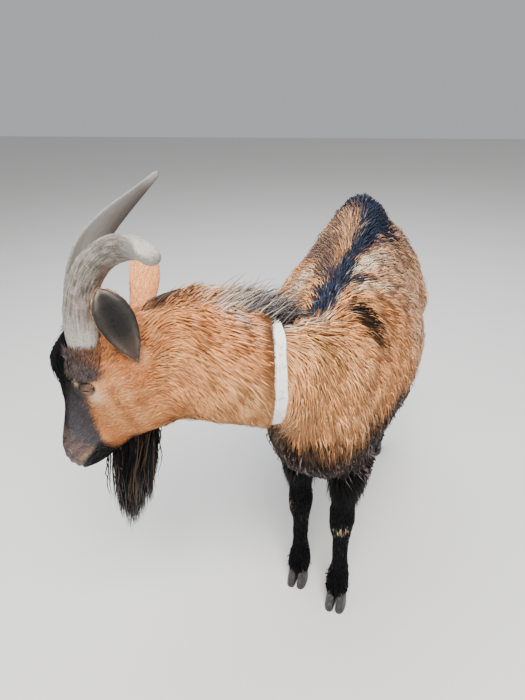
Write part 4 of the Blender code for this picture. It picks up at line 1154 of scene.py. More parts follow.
def blend(tree, first, second, share, kind="MIX"):
    """Mix node over a socket, a socket or colour, and a socket or number for the share."""
    node = add_node(tree, "ShaderNodeMix", data_type="RGBA", blend_type=kind)
    for index, value in ((0, share), (6, first), (7, second)):
        if isinstance(value, bpy.types.NodeSocket):
            tree.links.new(value, node.inputs[index])
        else:
            node.inputs[index].default_value = value
    return node.outputs[2]


def dress(tree, shader, colour, height, strength, distance):
    """Gives a material its colour and a relief from the heights of a pattern."""
    tree.links.new(colour, shader.inputs["Base Color"])
    relief = add_node(tree, "ShaderNodeBump", Strength=strength, Distance=distance)
    tree.links.new(height, relief.inputs["Height"])
    tree.links.new(relief.outputs["Normal"], shader.inputs["Normal"])


def attribute(tree, name):
    return add_node(tree, "ShaderNodeAttribute", attribute_name=name).outputs["Color"]


def map_place(tree, name):
    return add_node(tree, "ShaderNodeUVMap", uv_map=name).outputs["UV"]


def object_place(tree):
    return tree.nodes.new("ShaderNodeTexCoord").outputs["Object"]


def skin_material():
    made, tree, shader = nodes_of("skin", 0.72)
    place = object_place(tree)
    bright = add_node(tree, "ShaderNodeMath", operation="MULTIPLY_ADD")
    tree.links.new(stretched_noise(tree, place, (300.0, 300.0, 300.0), 3.0, 0.6), bright.inputs[0])
    bright.inputs[1].default_value = 0.6
    bright.inputs[2].default_value = 0.7
    colour = blend(tree, attribute(tree, "Markings"), bright.outputs[0], 1.0, "MULTIPLY")
    grain = stretched_noise(tree, place, (900.0, 900.0, 900.0), 4.0)
    dress(tree, shader, colour, grain, 0.5, 0.0012)
    return made


def coat_material():
    name = "hair"
    found = bpy.data.materials.get(name)
    if found:
        return found
    made, tree, shader = nodes_of(name, 0.50)
    shader.inputs["Specular IOR Level"].default_value = 0.10
    strands = stretched_noise(tree, map_place(tree, "Strand"), (11.0, 1.1, 1.0), 2.0, 0.55)
    tone = ramp(tree, strands, ((0.33, (0.26, 0.22, 0.19)), (0.44, (0.74, 0.71, 0.68)),
                                (0.52, (1.12, 1.12, 1.11)), (0.64, (1.42, 1.39, 1.33))))
    colour = blend(tree, attribute(tree, "Hair"), tone, 1.0, "MULTIPLY")
    dress(tree, shader, colour, strands, 0.8, 0.0012)
    return made


def horn_material():
    name = "keratin"
    found = bpy.data.materials.get(name)
    if found:
        return found
    made, tree, shader = nodes_of(name, 0.6)
    place = map_place(tree, "Horn")
    where = object_place(tree)
    fibres = stretched_noise(tree, place, (44.0, 9.0, 1.0), 6.0, 0.7)
    colour = ramp(tree, fibres, (
        (0.34, (0.035, 0.028, 0.022)), (0.45, (0.125, 0.104, 0.084)), (0.56, (0.270, 0.243, 0.205)),
        (0.70, (0.45, 0.42, 0.37))))
    rings = stretched_noise(tree, place, (7.0, 60.0, 1.0), 4.0, 0.6)
    pale = ramp(tree, rings, ((0.52, (0.0, 0.0, 0.0)), (0.74, (0.6, 0.6, 0.6))))
    colour = blend(tree, colour, (0.46, 0.43, 0.37, 1.0), pale)
    blotch = stretched_noise(tree, where, (26.0, 26.0, 26.0), 3.0, 0.6)
    brown = ramp(tree, blotch, ((0.48, (0.0, 0.0, 0.0)), (0.66, (0.65, 0.65, 0.65))))
    colour = blend(tree, colour, (0.085, 0.062, 0.042, 1.0), brown)
    wear_and_shade = tree.nodes.new("ShaderNodeSeparateColor")
    tree.links.new(attribute(tree, "WearAndShade"), wear_and_shade.inputs["Color"])
    # Painted shade from the green channel; the red channel holds the pale worn and flaky places
    colour = blend(tree, colour, (0.060, 0.048, 0.040, 1.0), wear_and_shade.outputs["Green"])
    flakes = stretched_noise(tree, where, (240.0, 240.0, 240.0), 4.0, 0.7)
    patchy = ramp(tree, flakes, ((0.38, (0.25, 0.25, 0.25)), (0.56, (1.0, 1.0, 1.0))))
    worn = blend(tree, wear_and_shade.outputs["Red"], patchy, 0.8, "MULTIPLY")
    colour = blend(tree, colour, (0.42, 0.405, 0.37, 1.0), worn)
    dress(tree, shader, colour, fibres, 0.8, 0.0014)
    return made


def hoof_material():
    made, tree, shader = nodes_of("hoof", 0.55)
    streaks = stretched_noise(tree, object_place(tree), (260.0, 260.0, 40.0), 4.0)
    colour = ramp(tree, streaks, (
        (0.30, (0.010, 0.010, 0.010)), (0.55, (0.028, 0.027, 0.026)), (0.75, (0.085, 0.078, 0.068))))
    dress(tree, shader, colour, streaks, 0.6, 0.0008)
    return made


def collar_material():
    made, tree, shader = nodes_of("collar", 0.68)
    threads = add_node(tree, "ShaderNodeTexWave", Scale=260.0, Distortion=1.5, wave_type="BANDS",
                       bands_direction="DIAGONAL")
    tree.links.new(map_place(tree, "Strap"), threads.inputs["Vector"])
    dirt = stretched_noise(tree, object_place(tree), (70.0, 70.0, 70.0), 6.0, 0.72)
    colour = ramp(tree, dirt, ((0.30, (0.34, 0.33, 0.20)), (0.38, (0.70, 0.69, 0.54)),
                               (0.46, (0.95, 0.94, 0.88)), (0.66, (0.99, 0.98, 0.95))))
    dress(tree, shader, colour, threads.outputs["Fac"], 0.7, 0.0008)
    return made


def eye_material():
    made, tree, shader = nodes_of("eye", 0.12)
    tree.links.new(attribute(tree, "Iris"), shader.inputs["Base Color"])
    shader.inputs["Coat Weight"].default_value = 1.0
    shader.inputs["Coat Roughness"].default_value = 0.04
    return made


def floor_material():
    made, _, shader = nodes_of("floor", 0.9)
    shader.inputs["Base Color"].default_value = (0.70, 0.69, 0.67, 1.0)
    return made


# Coat


class Surface:
    """The skin's triangles, with what the coat needs at each of their corners."""

    def __init__(self, item):
        mesh = item.data
        mesh.calc_loop_triangles()
        self.points = read(mesh.vertices, "co", 3).astype(float) - np.array(SHIFT)
        self.normals = read(mesh.vertices, "normal", 3).astype(float)
        self.flow = read(mesh.attributes["Lie"].data, "vector", 3).astype(float)
        self.corners = read(mesh.loop_triangles, "vertices", 3, np.int32)
        self.loops = read(mesh.loop_triangles, "loops", 3, np.int32)
        self.map = read(mesh.uv_layers[BAKE_MAP].data, "uv", 2).astype(float)
        self.ear = read(mesh.attributes["Ear"].data, "value", 1).ravel()[self.corners[:, 0]] > 0.5
        sides = self.points[self.corners]
        self.areas = np.linalg.norm(np.cross(sides[:, 1] - sides[:, 0], sides[:, 2] - sides[:, 0]), axis=1) / 2
        self.middles = sides.mean(axis=1)
        self.tree = BVHTree.FromPolygons(self.points.tolist(), self.corners.tolist())

    def sample(self, density, seed):
        """Random places over the surface, by a density in pieces for each square metre of each triangle."""
        rng = np.random.default_rng(seed)
        share = np.cumsum(self.areas * density)
        count = int(share[-1])
        picks = np.searchsorted(share, (np.arange(count) + rng.uniform(size=count)) / count * share[-1])
        picks = np.minimum(picks, len(self.areas) - 1)
        first = np.sqrt(rng.uniform(size=count))
        second = rng.uniform(size=count)
        weights = np.stack((1 - first, first * (1 - second), first * second), axis=1)

        def at(values, index):
            return np.einsum("nk,nkc->nc", weights, values[index[picks]])

        return {
            "points": at(self.points, self.corners),
            "normals": unit(at(self.normals, self.corners)),
            "flow": unit(at(self.flow, self.corners)),
            "map": at(self.map, self.loops),
            "rng": rng,
        }

    def heights(self, points):
        """Signed height of each point over the surface, and the surface normal there."""
        height = np.empty(len(points))
        ways = np.empty((len(points), 3))
        for index, point in enumerate(points.tolist()):
            place, normal, _, _ = self.tree.find_nearest(point)
            away = Vector(point) - place
            height[index] = away.dot(normal)
            ways[index] = normal
        return height, ways

    def lift(self, points, target):
        """Moves points to the given heights over the surface, in place."""
        height, ways = self.heights(points)
        points += ways * (target - height)[:, None]

    def lift_over(self, points, least):
        """Moves points that lie lower than a height up to it, in place."""
        height, ways = self.heights(points)
        points += ways * np.maximum(least - height, 0)[:, None]

    def roots(self, hits):
        """Places, normals and places on the unwrap of hits on the surface."""
        places = np.array([hit[0] for hit in hits])
        normals = np.array([hit[1] for hit in hits])
        maps = np.array([self.map[self.loops[hit[2]]].mean(axis=0) for hit in hits])
        return places, normals, maps


def tuft_faces(rings):
    """Triangles of one tuft: the end at its root, the bands between its rings, and its point."""
    faces = [(0, 2, 1)]
    last = rings * 3 - 3
    for base in range(0, last, 3):
        for corner in range(3):
            follow = (corner + 1) % 3
            faces.append((base + corner, base + follow, base + 3 + follow))
            faces.append((base + corner, base + 3 + follow, base + 3 + corner))
    faces += [(last + corner, last + (corner + 1) % 3, last + 3) for corner in range(3)]
    return np.array(faces, np.int32)


def triangle_mesh(name, points, triangles):
    mesh = bpy.data.meshes.new(name)
    mesh.vertices.add(len(points))
    mesh.vertices.foreach_set("co", points.ravel())
    mesh.loops.add(triangles.size)
    mesh.loops.foreach_set("vertex_index", triangles.ravel())
    mesh.polygons.add(len(triangles))
    mesh.polygons.foreach_set("loop_start", np.arange(len(triangles), dtype=np.int32) * 3)
    mesh.update(calc_edges=True)
    return mesh


def build_tufts(name, roots, middles, tips, normals, widths, colours, maps, rings=3, flatness=0.35, curl=None):
    """One mesh of closed, three-sided, tapered tufts. Colours are for root, middle and tip; the callers darken
    the roots as painted shade near the skin.
    """
    across = unit(np.cross(tips - roots, normals))
    depth = unit(np.cross(across, tips - roots))
    count = len(roots)
    shares = {2: (0.0, 0.42), 3: (0.0, 0.36, 0.72)}.get(rings, np.linspace(0.0, 0.84, rings))
    rise = np.interp(shares, (0.0, 0.40, 0.72, 0.84), (0.8, 1.0, 0.62, 0.40))
    per = rings * 3 + 1
    verts = np.empty((count, per, 3), np.float32)
    tints = np.empty((count, per, 3), np.float32)
    spots = np.empty((count, per, 2), np.float32)
    strands = np.empty((count, per, 2), np.float32)
    shifts = np.random.default_rng(count).uniform(0, 100, (count, 2))
    knee = middles * 2 - (roots + tips) / 2
    for index, share in enumerate(shares):
        rest = 1 - share
        place = roots * rest * rest + knee * 2 * rest * share + tips * share * share
        if curl is not None:
            size, turns, phase = curl
            swing = 2 * math.pi * turns * share + phase
            place = place + across * (size * share * (1.1 - share) * np.sin(swing))[:, None]
            place = place + depth * (size * 0.7 * share * (1.1 - share) * np.cos(swing * 0.8))[:, None]
        along = unit((knee - roots) * rest + (tips - knee) * share)
        side = unit(np.cross(along, normals))
        up = np.cross(side, along)
        half = (widths * rise[index] / 2)[:, None]
        low = up * half * flatness
        corners = (side * half - low, -side * half - low, low * 2)
        tint = colours[0] + (colours[1] - colours[0]) * min(share * 2, 1.0)
        tint = tint + (colours[2] - colours[1]) * max(share * 2 - 1, 0.0)
        for corner, offset in enumerate(corners):
            verts[:, index * 3 + corner] = place + offset
            tints[:, index * 3 + corner] = tint
            spots[:, index * 3 + corner] = maps + ((corner - 1) * 0.0012, (share - 0.5) * 0.003)
            strands[:, index * 3 + corner] = shifts + ((0.0, 1.0, 0.5)[corner], share)
    verts[:, -1] = tips
    tints[:, -1] = colours[2]
    spots[:, -1] = maps + (0.0, 0.0015)
    strands[:, -1] = shifts + (0.5, 1.0)
    index = (np.arange(count, dtype=np.int32) * per)[:, None, None] + tuft_faces(rings)[None]
    index = index.reshape(-1, 3)
    mesh = triangle_mesh(name, verts.reshape(-1, 3) + np.array(SHIFT, np.float32), index)
    for layer_name, values in ((BAKE_MAP, spots), ("Strand", strands)):
        layer = mesh.uv_layers.new(name=layer_name)
        layer.data.foreach_set("uv", values.reshape(-1, 2)[index.ravel()].ravel())
    paint(mesh, "Hair", tints.reshape(-1, 3))
    made = new_object(name, mesh, coat_material())
    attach(made, "root")
    return made


def shade(points, rng, spread=0.010, contrast=0.20):
    """Root, middle and tip colours of tufts whose roots are at the points."""
    moved = points + rng.normal(size=points.shape) * spread
    base = markings(moved)
    bright = varied(rng, len(points), contrast)[:, None]
    warm = rng.normal(size=len(points))[:, None] * 0.06
    base = base * bright * np.concatenate((1 + warm, 1 + 0 * warm, 1 - warm), axis=1)
    base = base * np.minimum(1, 0.90 / np.maximum(base.max(axis=1, keepdims=True), 1e-6))
    light = np.array((1.0, 0.90, 0.80))
    dark = base.mean(axis=1, keepdims=True) < 0.06
    brisket = step(0.38, 0.42, points[:, 2]) * step(0.60, 0.50, points[:, 2]) * step(0.0, -0.12, points[:, 1])
    ashen = (rng.uniform(size=len(points)) < 0.05 * regions(points)["trunk"] + 0.20 * brisket)[:, None] & dark
    base = np.where(ashen, base + np.array((0.15, 0.125, 0.125)), base)
    tip = base * np.where(dark, 1.30, 1.10) * light + np.where(dark, 0.001, 0.010)
    # Roots darker than the middles: painted shade near the skin
    return base * 0.60, base, tip


def coat_depth(points):
    """How far the outer hair stands off the skin at each point."""
    area = regions(points)
    head = to_head(points)
    along, turn = neck_turn(points)
    from_strap, from_centre = from_collar(points)
    height = points[:, 2]
    trunk = 0.017 + 0.004 * step(0.56, 0.48, height) + 0.003 * step(0.80, 0.86, height)
    trunk = trunk + 0.009 * bump(np.linalg.norm(points - (0.0, 0.33, 0.92), axis=1), 0.10)
    neck = 0.015 - 0.007 * step(0.10, 0.20, along) + 0.004 * step(50, 20, np.abs(turn))
    face = 0.0015 + 0.0022 * step(0.23, 0.14, head[:, 0]) + 0.0055 * step(0.12, -0.02, head[:, 0])
    face = face + 0.022 * jaw_weight(head)
    face = np.minimum(face, 0.0006 + 0.25 * np.maximum(eye_distance(head) - 0.018, 0.0))
    face = np.minimum(face, 0.0012 + 0.35 * np.maximum(from_ears(head) - 0.020, 0.0))
    leg = 0.0062 + 0.010 * step(0.36, 0.43, height) + 0.0030 * bump(height - 0.285, 0.040)
    leg = leg + 0.0060 * step(0.120, 0.085, height)
    strap = step(0.032, 0.013, np.abs(from_strap)) * step(0.165, 0.14, from_centre)
    parts = {"head": face, "neck": neck, "tail": 0.012 + 0 * trunk, "leg": leg, "trunk": trunk}
    depth = sum(area[name] * value for name, value in parts.items())
    return depth * (1 - strap) + 0.0075 * strap


def lay(surface, found, length, droop, sway):
    """Roots, middles and tips of hair that rises to its own layer of the coat and lies along the flow."""
    rng = found["rng"]
    points, normals, flow = found["points"], found["normals"], found["flow"]
    count = len(points)
    side = np.cross(normals, flow)
    clump = waves(points, 0.090, 31) * 0.70 + waves(points, 0.030, 32) * 0.30
    lean = (clump * sway + rng.normal(size=count) * sway * 0.45)[:, None]
    down = np.array((0.0, 0.0, -1.0)) * droop
    length = length * varied(rng, count, 0.16)
    length = np.minimum(length, clear_of_collar(points, flow))[:, None]
    rise = coat_depth(points) * (0.45 + 0.55 * np.sqrt(rng.uniform(size=count)))
    rise = rise * (1 + 0.12 * waves(points, 0.05, 33)) * np.where(rng.uniform(size=count) < 0.03, 1.35, 1.0)
    roots = points - normals * 0.003
    middles = points + unit(flow + side * lean * 0.6) * length * 0.42
    tips = middles + unit(flow + side * lean * 1.3 + down) * length * 0.60
    ends = rise * (0.80 + 0.30 * rng.uniform(size=count))
    surface.lift(middles, rise)
    surface.lift(tips, ends)
    return roots, middles, tips


def coarseness(points):
    """Relative width of the tufts: finer on the face, coarser on the cheeks and the back of the head."""
    head = to_head(points)
    coarse = 1 + regions(points)["head"] * 0.60 * step(0.12, -0.02, head[:, 0])
    return coarse * (0.45 + 0.55 * step(0.017, 0.027, eye_distance(head)))


def clear_of_collar(points, flow):
    """Longest hair that stops short of the strap, where it lies towards it."""
    along, away = from_collar(points)
    speed = flow @ np.array(COLLAR_AXIS)
    gap = np.abs(along) - COLLAR_WIDTH / 2 - 0.001
    towards = (away < 0.20) & (along * speed < 0)
    return np.where(towards, np.maximum(gap / np.maximum(np.abs(speed), 0.15), 0.006), 1.0)


def grow(surface, name, mask, density, seed, width, droop=0.10, sway=0.16, rings=2, contrast=0.28,
         spread=0.008):
    """A coat piece over the part of the skin that a mask picks."""
    found = surface.sample(mask(surface.middles) * density * ~surface.ear, seed)
    if len(found["points"]) == 0:
        raise RuntimeError("no roots for " + name)
    roots, middles, tips = lay(surface, found, coat_length(found["points"]), droop, sway)
    rng = found["rng"]
    widths = width * varied(rng, len(roots), 0.25) * coarseness(found["points"])
    colours = shade(middles * 0.5 + tips * 0.5, rng, spread, contrast)
    return build_tufts(name, roots, middles, tips, found["normals"], widths, colours, found["map"], rings)


TRUNK_PARTS = ("back", "chest_left", "chest_right", "flank_left", "flank_right", "rump_left", "rump_right")


def trunk_mask(part):
    """Mask of one part of the trunk's coat, clear of the strap."""
    def mask(points):
        area = regions(points)
        x, y, z = points.T
        body = (area["trunk"] > 0.5) & (z > 0.40) & ~under_strap(points)
        back = (np.abs(np.degrees(np.arctan2(x, z - AXIS_HEIGHT))) < 40) & (z > 0.70)
        if part == "back":
            return (body & back).astype(float)
        place, side = part.split("_")
        edges = {"chest": (-1.0, -0.16), "flank": (-0.16, 0.17), "rump": (0.17, 1.0)}[place]
        keep = (x > 0) if side == "left" else (x <= 0)
        return (body & ~back & keep & (y >= edges[0]) & (y < edges[1])).astype(float)
    return mask


def under_strap(points):
    along, away = from_collar(points)
    return (away < 0.16) & (along > -0.006) & (along < COLLAR_WIDTH / 2 + 0.0005)


def neck_mask(sign):
    def mask(points):
        area = regions(points)
        turn = neck_turn(points)[1]
        keep = (turn <= 0) if sign > 0 else (turn > 0)
        return ((area["neck"] >= 0.5) & keep & ~under_strap(points)).astype(float)
    return mask


def head_mask(sign):
    """Mask of one half of the head, bare at the eyes, the nose and inside the mouth and nostrils."""
    def mask(points):
        head = to_head(points)
        keep = (regions(points)["head"] > 0.5) & (head[:, 2] * sign > 0)
        from_eye = mirrored(head) - np.array(EYE)
        near = np.linalg.norm(from_eye, axis=1)
        slit = np.abs(from_eye @ np.array(SLIT_UP)) < 0.0040
        slit &= np.abs(from_eye @ np.array(SLIT_ALONG)) < 0.0145
        keep &= (near > 0.0154) & ~(slit & (near < 0.0185))
        nostril, _ = to_path(mirrored(head), (NOSTRIL_FRONT, NOSTRIL_BACK))
        keep &= nostril > 0.0055
        keep &= ~((head[:, 0] > 0.287) & (head[:, 1] > mouth_line(head[:, 0]) - 0.002))
        keep &= ~((head[:, 0] > 0.250) & (np.abs(head[:, 1] - mouth_line(head[:, 0])) < 0.0022))
        fine = 1 + 0.5 * step(0.05, 0.12, head[:, 0]) + 2.5 * step(0.026, 0.018, near)
        return keep * fine
    return mask


def leg_mask(pair):
    def mask(points):
        y, z = points[:, 1], points[:, 2]
        keep = (y < 0) if pair == "fore" else (y >= 0)
        leg = (z <= 0.42) & (regions(points)["leg"] > 0.2) & (z > CORONET_HEIGHT - 0.003)
        return (leg & keep) * (1 + 0.8 * step(0.10, 0.07, z))
    return mask


def tail_mask(points):
    return (regions(points)["tail"] > 0.5).astype(float)


# Pieces


def make_eye(side, sign):
    bm = bmesh.new()
    bmesh.ops.create_uvsphere(bm, u_segments=48, v_segments=32, radius=EYE_RADIUS)
    centre = on_side(EYE, sign)
    tints = []
    for vertex in bm.verts:
        place = vertex.co.copy()
        facing = on_side(place, sign)
        along = facing.dot(SLIT_ALONG)
        rise = facing.dot(SLIT_UP)
        out = facing.dot(EYE_OUT)
        radius = math.hypot(along, rise)
        if out < 0 or radius > 0.0108:
            tints.append((0.16, 0.10, 0.07) if out > 0 else (0.3, 0.25, 0.22))
        elif abs(rise) < 0.0019 and abs(along) < 0.0062:
            tints.append((0.004, 0.004, 0.006))
        else:
            tints.append((0.34, 0.17, 0.04) if radius < 0.0085 else (0.10, 0.05, 0.015))
        vertex.co = HEAD @ (centre + place)
    made = from_bmesh("goat_eye_" + side, bm, eye_material())
    paint(made.data, "Iris", np.array(tints))
    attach(made, "root")
    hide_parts("eye_" + side)
    return made


def horn_point(controls, share):
    first, second, third = controls
    rest = 1 - share
    return (HORN_ROOT * rest ** 3 + first * 3 * rest * rest * share
            + second * 3 * rest * share * share + third * share ** 3)


def make_horn(side):
    """A flattened, ringed horn with a keel along its front edge and a blunt, worn end."""
    sign = SIGNS[side]
    rng = np.random.default_rng(41 if side == "left" else 42)
    points = []
    for index in range(HORN_STEPS + 1):
        points.append(HEAD @ on_side(horn_point(HORNS[side], index / HORN_STEPS), sign))
    start = points[0] + (points[0] - points[1]).normalized() * 0.018
    points.insert(0, start)
    left = HEAD.to_3x3() @ Z_AXIS
    phases = rng.uniform(0, 6.28, 4)
    slim, shift, end_loss = HORN_SLIMMING[side]
    worn_from, worn_to, worn_tip, worn_edge = HORN_WEAR[side]
    rings = []
    wear_and_shade = []
    for index, (point, (forward, across)) in enumerate(zip(points, path_frames(points, left))):
        share = max(index - 1, 0) / HORN_STEPS
        taper = 1 - HORN_TAPER[side] * share ** 1.9
        wave = math.sin(share * 118 + phases[0]) * 0.5 + math.sin(share * 71 + phases[1]) * 0.35
        wave += math.sin(share * 205 + phases[2]) * 0.2
        ripple = 1 + 0.022 * wave * (1 - share ** 2) + 0.010 * math.sin(share * 23 + phases[3])
        end = max(0.0, (share - 0.965) / 0.035)
        close = math.sqrt(max(1 - end * end * end_loss, 0.0))
        flaky = 0.75 * float(bump(share, 0.075))
        tip = worn_tip * float(step(worn_from, worn_to, share))
        ring = []
        for angle in angles(HORN_SIDES):
            keel = 1 + 0.13 * float(bump(angle - math.pi, 0.30))
            groove = 1 - 0.020 * math.sin(angle * 5 + 3 * math.sin(share * 7)) * (1 - share)
            reach = forward * (math.cos(angle) * HORN_DEPTH / 2 * keel * slim + shift)
            flat = across * signed_power(math.sin(angle), 0.92) * HORN_BREADTH / 2
            ring.append(point + (reach + flat) * taper * ripple * groove * close * 0.985)
            edge = worn_edge * float(bump(angle - math.pi, 0.26))
            # Painted shade: the far horn darkened all over, the near horn a little and more on the side away
            # from the keel
            painted_shade = 0.97 if side == "right" else 0.10 + 0.35 * max(math.cos(angle), 0.0) ** 2
            wear_and_shade.append((min(edge + flaky + tip, 0.95), painted_shade * (1 - tip), 0.0))
        rings.append(ring)
    bm = bmesh.new()
    corners = loft(bm, rings)
    layer = bm.loops.layers.uv.new("Horn")
    places = {}
    for row, ring in enumerate(corners):
        for corner, vertex in enumerate(ring):
            places[vertex] = (corner / HORN_SIDES, row / HORN_STEPS)
    for face in bm.faces:
        across = [places[loop.vert][0] for loop in face.loops]
        wrap = max(across) - min(across) > 0.5
        for loop in face.loops:
            u, v = places[loop.vert]
            loop[layer].uv = (u + 1 if wrap and u < 0.5 else u, v)
    bm.verts.index_update()
    order = [vertex.index for ring in corners for vertex in ring]
    made = from_bmesh("goat_horn_" + side, bm, horn_material())
    values = np.zeros((len(made.data.vertices), 3))
    for spot, worn in zip(order, wear_and_shade):
        values[spot] = worn
    paint(made.data, "WearAndShade", values)
    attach(made, "root")
    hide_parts("horn_" + side)
    return made


def make_hoof(name, toe):
    """Two claws side by side with a narrow cleft and a flat sole."""
    bm = bmesh.new()
    rows = (
        (CORONET_HEIGHT + 0.002, 0.018, 0.0120, 0.0215, 0.0225, 0.0115),
        (CORONET_HEIGHT - 0.006, 0.0165, 0.0130, 0.0255, 0.0255, 0.0118),
        (0.030, 0.014, 0.0136, 0.0285, 0.0285, 0.0122),
        (0.010, 0.009, 0.0142, 0.0320, 0.0315, 0.0128),
        (0.0015, 0.0065, 0.0146, 0.0335, 0.0325, 0.0131),
        (0.0, 0.0062, 0.0140, 0.0325, 0.0315, 0.0131),
    )
    for sign in (-1, 1):
        rings = []
        for height, back, half, ahead, behind, apart in rows:
            centre = Vector((toe[0] + sign * apart, toe[1] + back, height))
            ring = section(centre, X_AXIS, -Y_AXIS, half, ahead, behind, 28, 0.85)
            for point in ring:
                inner = sign * (point.x - toe[0])
                limit = 0.0012 + 0.0022 * max(0.0, (centre.y - point.y) / ahead)
                if inner < limit:
                    point.x = toe[0] + sign * limit
            rings.append(ring)
        loft(bm, rings)
    made = from_bmesh(f"goat_{name}", bm, hoof_material())
    bevel = made.modifiers.new("Bevel", "BEVEL")
    bevel.width = 0.0006
    bevel.segments = 2
    bevel.limit_method = "ANGLE"
    bevel.angle_limit = math.radians(50)
    evaluate(made)
    made.data.shade_smooth()
    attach(made, "root")
    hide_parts(name)
    return made


def strap_axes():
    """Directions to one side and to the top of the strap's ring."""
    side = COLLAR_AXIS.cross(Z_AXIS).normalized()
    return side, side.cross(COLLAR_AXIS)


def strap_reaches(surface, sides):
    """How far the strap's inside lies from its centre in each direction, as a smooth hull of the neck."""
    side, up = strap_axes()
    _, half_width, above, below = NECK[COLLAR_ROW]
    found = []
    for angle in angles(sides):
        out = side * math.cos(angle) + up * math.sin(angle)
        rise = math.sin(angle)
        tall = above if rise > 0 else below
        usual = 1 / math.hypot(math.cos(angle) / half_width, rise / tall)
        far = [usual - 0.010]
        for shift in (-0.010, 0.0, 0.010):
            start = COLLAR_CENTRE + COLLAR_AXIS * shift + out * 0.20
            place, _, _, _ = surface.tree.ray_cast(start, -out, 0.19)
            if place is not None:
                far.append(0.20 - (place - start).length)
        found.append(min(max(max(far), usual - 0.010), usual + 0.008))
    reach = np.array(found)
    for _ in range(14):
        reach = np.maximum(reach, (np.roll(reach, 1) + np.roll(reach, -1)) / 2)
    for _ in range(10):
        reach = (np.roll(reach, 1) + 2 * reach + np.roll(reach, -1)) / 4
    return reach + 0.0015


def make_collar(surface):
    """A flat strap round the neck, with rounded edges and a slight wave."""
    side, up = strap_axes()
    half = COLLAR_WIDTH / 2
    thick = COLLAR_THICKNESS
    profile = [(-half, 0.0008), (-half + 0.0006, 0.0002), (0.0, 0.0), (half - 0.0006, 0.0002), (half, 0.0008),
               (half, thick - 0.0010), (half - 0.0012, thick - 0.0001), (half - 0.0030, thick - 0.0006),
               (0.0, thick - 0.0002), (-half + 0.0030, thick - 0.0006), (-half + 0.0012, thick - 0.0001),
               (-half, thick - 0.0010)]
    sides = 120
    rings = []
    for angle, reach in zip(angles(sides), strap_reaches(surface, sides)):
        out = side * math.cos(angle) + up * math.sin(angle)
        wave = 0.0012 * math.sin(5 * angle + 0.7) + 0.0005 * math.sin(11 * angle)
        tilt = 0.0008 * math.sin(3 * angle + 1.0)
        ring = []
        for shift, grow_by in profile:
            centre = COLLAR_CENTRE + COLLAR_AXIS * (shift * (1 + 0.03 * math.sin(7 * angle)) + wave)
            ring.append(centre + out * (reach + grow_by + tilt * shift / half))
        rings.append(ring)
    bm = bmesh.new()
    corners = loft(bm, rings, cap=False)
    ends = []
    for ring in (corners[0], corners[-1]):
        ends += [edge for edge in bm.edges if edge.verts[0] in ring and edge.verts[1] in ring]
    bmesh.ops.bridge_loops(bm, edges=ends)
    layer = bm.loops.layers.uv.new("Strap")
    for face in bm.faces:
        for loop in face.loops:
            away = loop.vert.co - COLLAR_CENTRE
            angle = math.atan2(away.dot(up), away.dot(side))
            loop[layer].uv = (angle / (2 * math.pi) * 0.62, away.dot(COLLAR_AXIS))
    made = from_bmesh("goat_collar", bm, collar_material())
    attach(made, "root")
    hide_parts("collar")
    return made


def surface_of_skin():
    return Surface(bpy.data.objects["skin"])


def make_beard(surface):
    """Long locks from the lower jaw that hang and close to one tip."""
    rng = np.random.default_rng(51)
    count = BEARD_TUFTS
    share = rng.uniform(size=count) ** 0.9
    across = rng.normal(size=count) * 0.010
    down = np.array(HEAD.to_3x3().inverted() @ Vector((-0.08, -0.024, -1)))
    start = np.array(BEARD_BACK) + (np.array(BEARD_FRONT) - np.array(BEARD_BACK)) * share[:, None]
    start = start + np.stack((0 * share - 0.010, 0 * share, across), axis=1)
    roots, normals, maps = place_on_skin(surface, start, np.array((0.0, -1.0, 0.0)))
    fall = BEARD_FALL * (1 - 0.30 * np.abs(share - 0.5) * 2 - 0.55 * rng.uniform(size=count) ** 1.6)
    local = to_head(roots)
    tip = local + down * fall[:, None]
    target = np.array(BEARD_FRONT) + (np.array(BEARD_BACK) - np.array(BEARD_FRONT)) * 0.10
    gather = np.clip(fall / BEARD_FALL, 0, 1)[:, None] ** 1.3 * 0.72
    pull = (target - local) * np.array((1.0, 0.0, 0.8))
    tip = tip + pull * gather + rng.normal(size=(count, 3)) * 0.006
    wave = np.stack((waves(roots, 0.03, 5), 0 * share, waves(roots, 0.02, 6)), axis=1) * 0.008
    middle = local + (tip - local) * 0.5 + np.array((0.004, 0.0, 0.0)) + wave
    middle[:, 2] += np.sign(local[:, 2]) * 0.004
    roots_in = roots - normals * 0.004
    middles = from_head(middle) + POLL_POINT
    tips = from_head(tip) + POLL_POINT
    base = np.array(BLACK) * varied(rng, count, 0.3)[:, None]
    brown = (rng.uniform(size=count) < 0.22)[:, None]
    base = np.where(brown, base * 0.5 + np.array((0.060, 0.036, 0.022)), base)
    ashen = (rng.uniform(size=count) < 0.16)[:, None]
    tip_colour = np.where(ashen, np.array(GREY) * 0.9, base * 1.6 + 0.01)
    widths = 0.0026 * varied(rng, count, 0.25)
    size = 0.014 + 0.008 * waves(roots, 0.04, 7)
    phase = 2.2 * waves(roots, 0.035, 8) + rng.normal(size=count) * 0.35
    turns = 1.25 + 0.25 * waves(roots, 0.05, 9)
    return build_tufts("beard", roots_in, middles, tips, normals, widths, (base * 0.7, base, tip_colour),
                       maps, 7, curl=(size, turns, phase))


def place_on_skin(surface, spots, out):
    """Roots on the skin under spots given in the head's axes, with normals and places on the unwrap."""
    aim = Vector(from_head(-out))
    hits = []
    for spot in from_head(spots) + POLL_POINT:
        hit = surface.tree.ray_cast(Vector(spot) - aim * 0.10, aim, 0.25)
        hits.append(surface.tree.find_nearest(Vector(spot)) if hit[0] is None else hit)
    return surface.roots(hits)


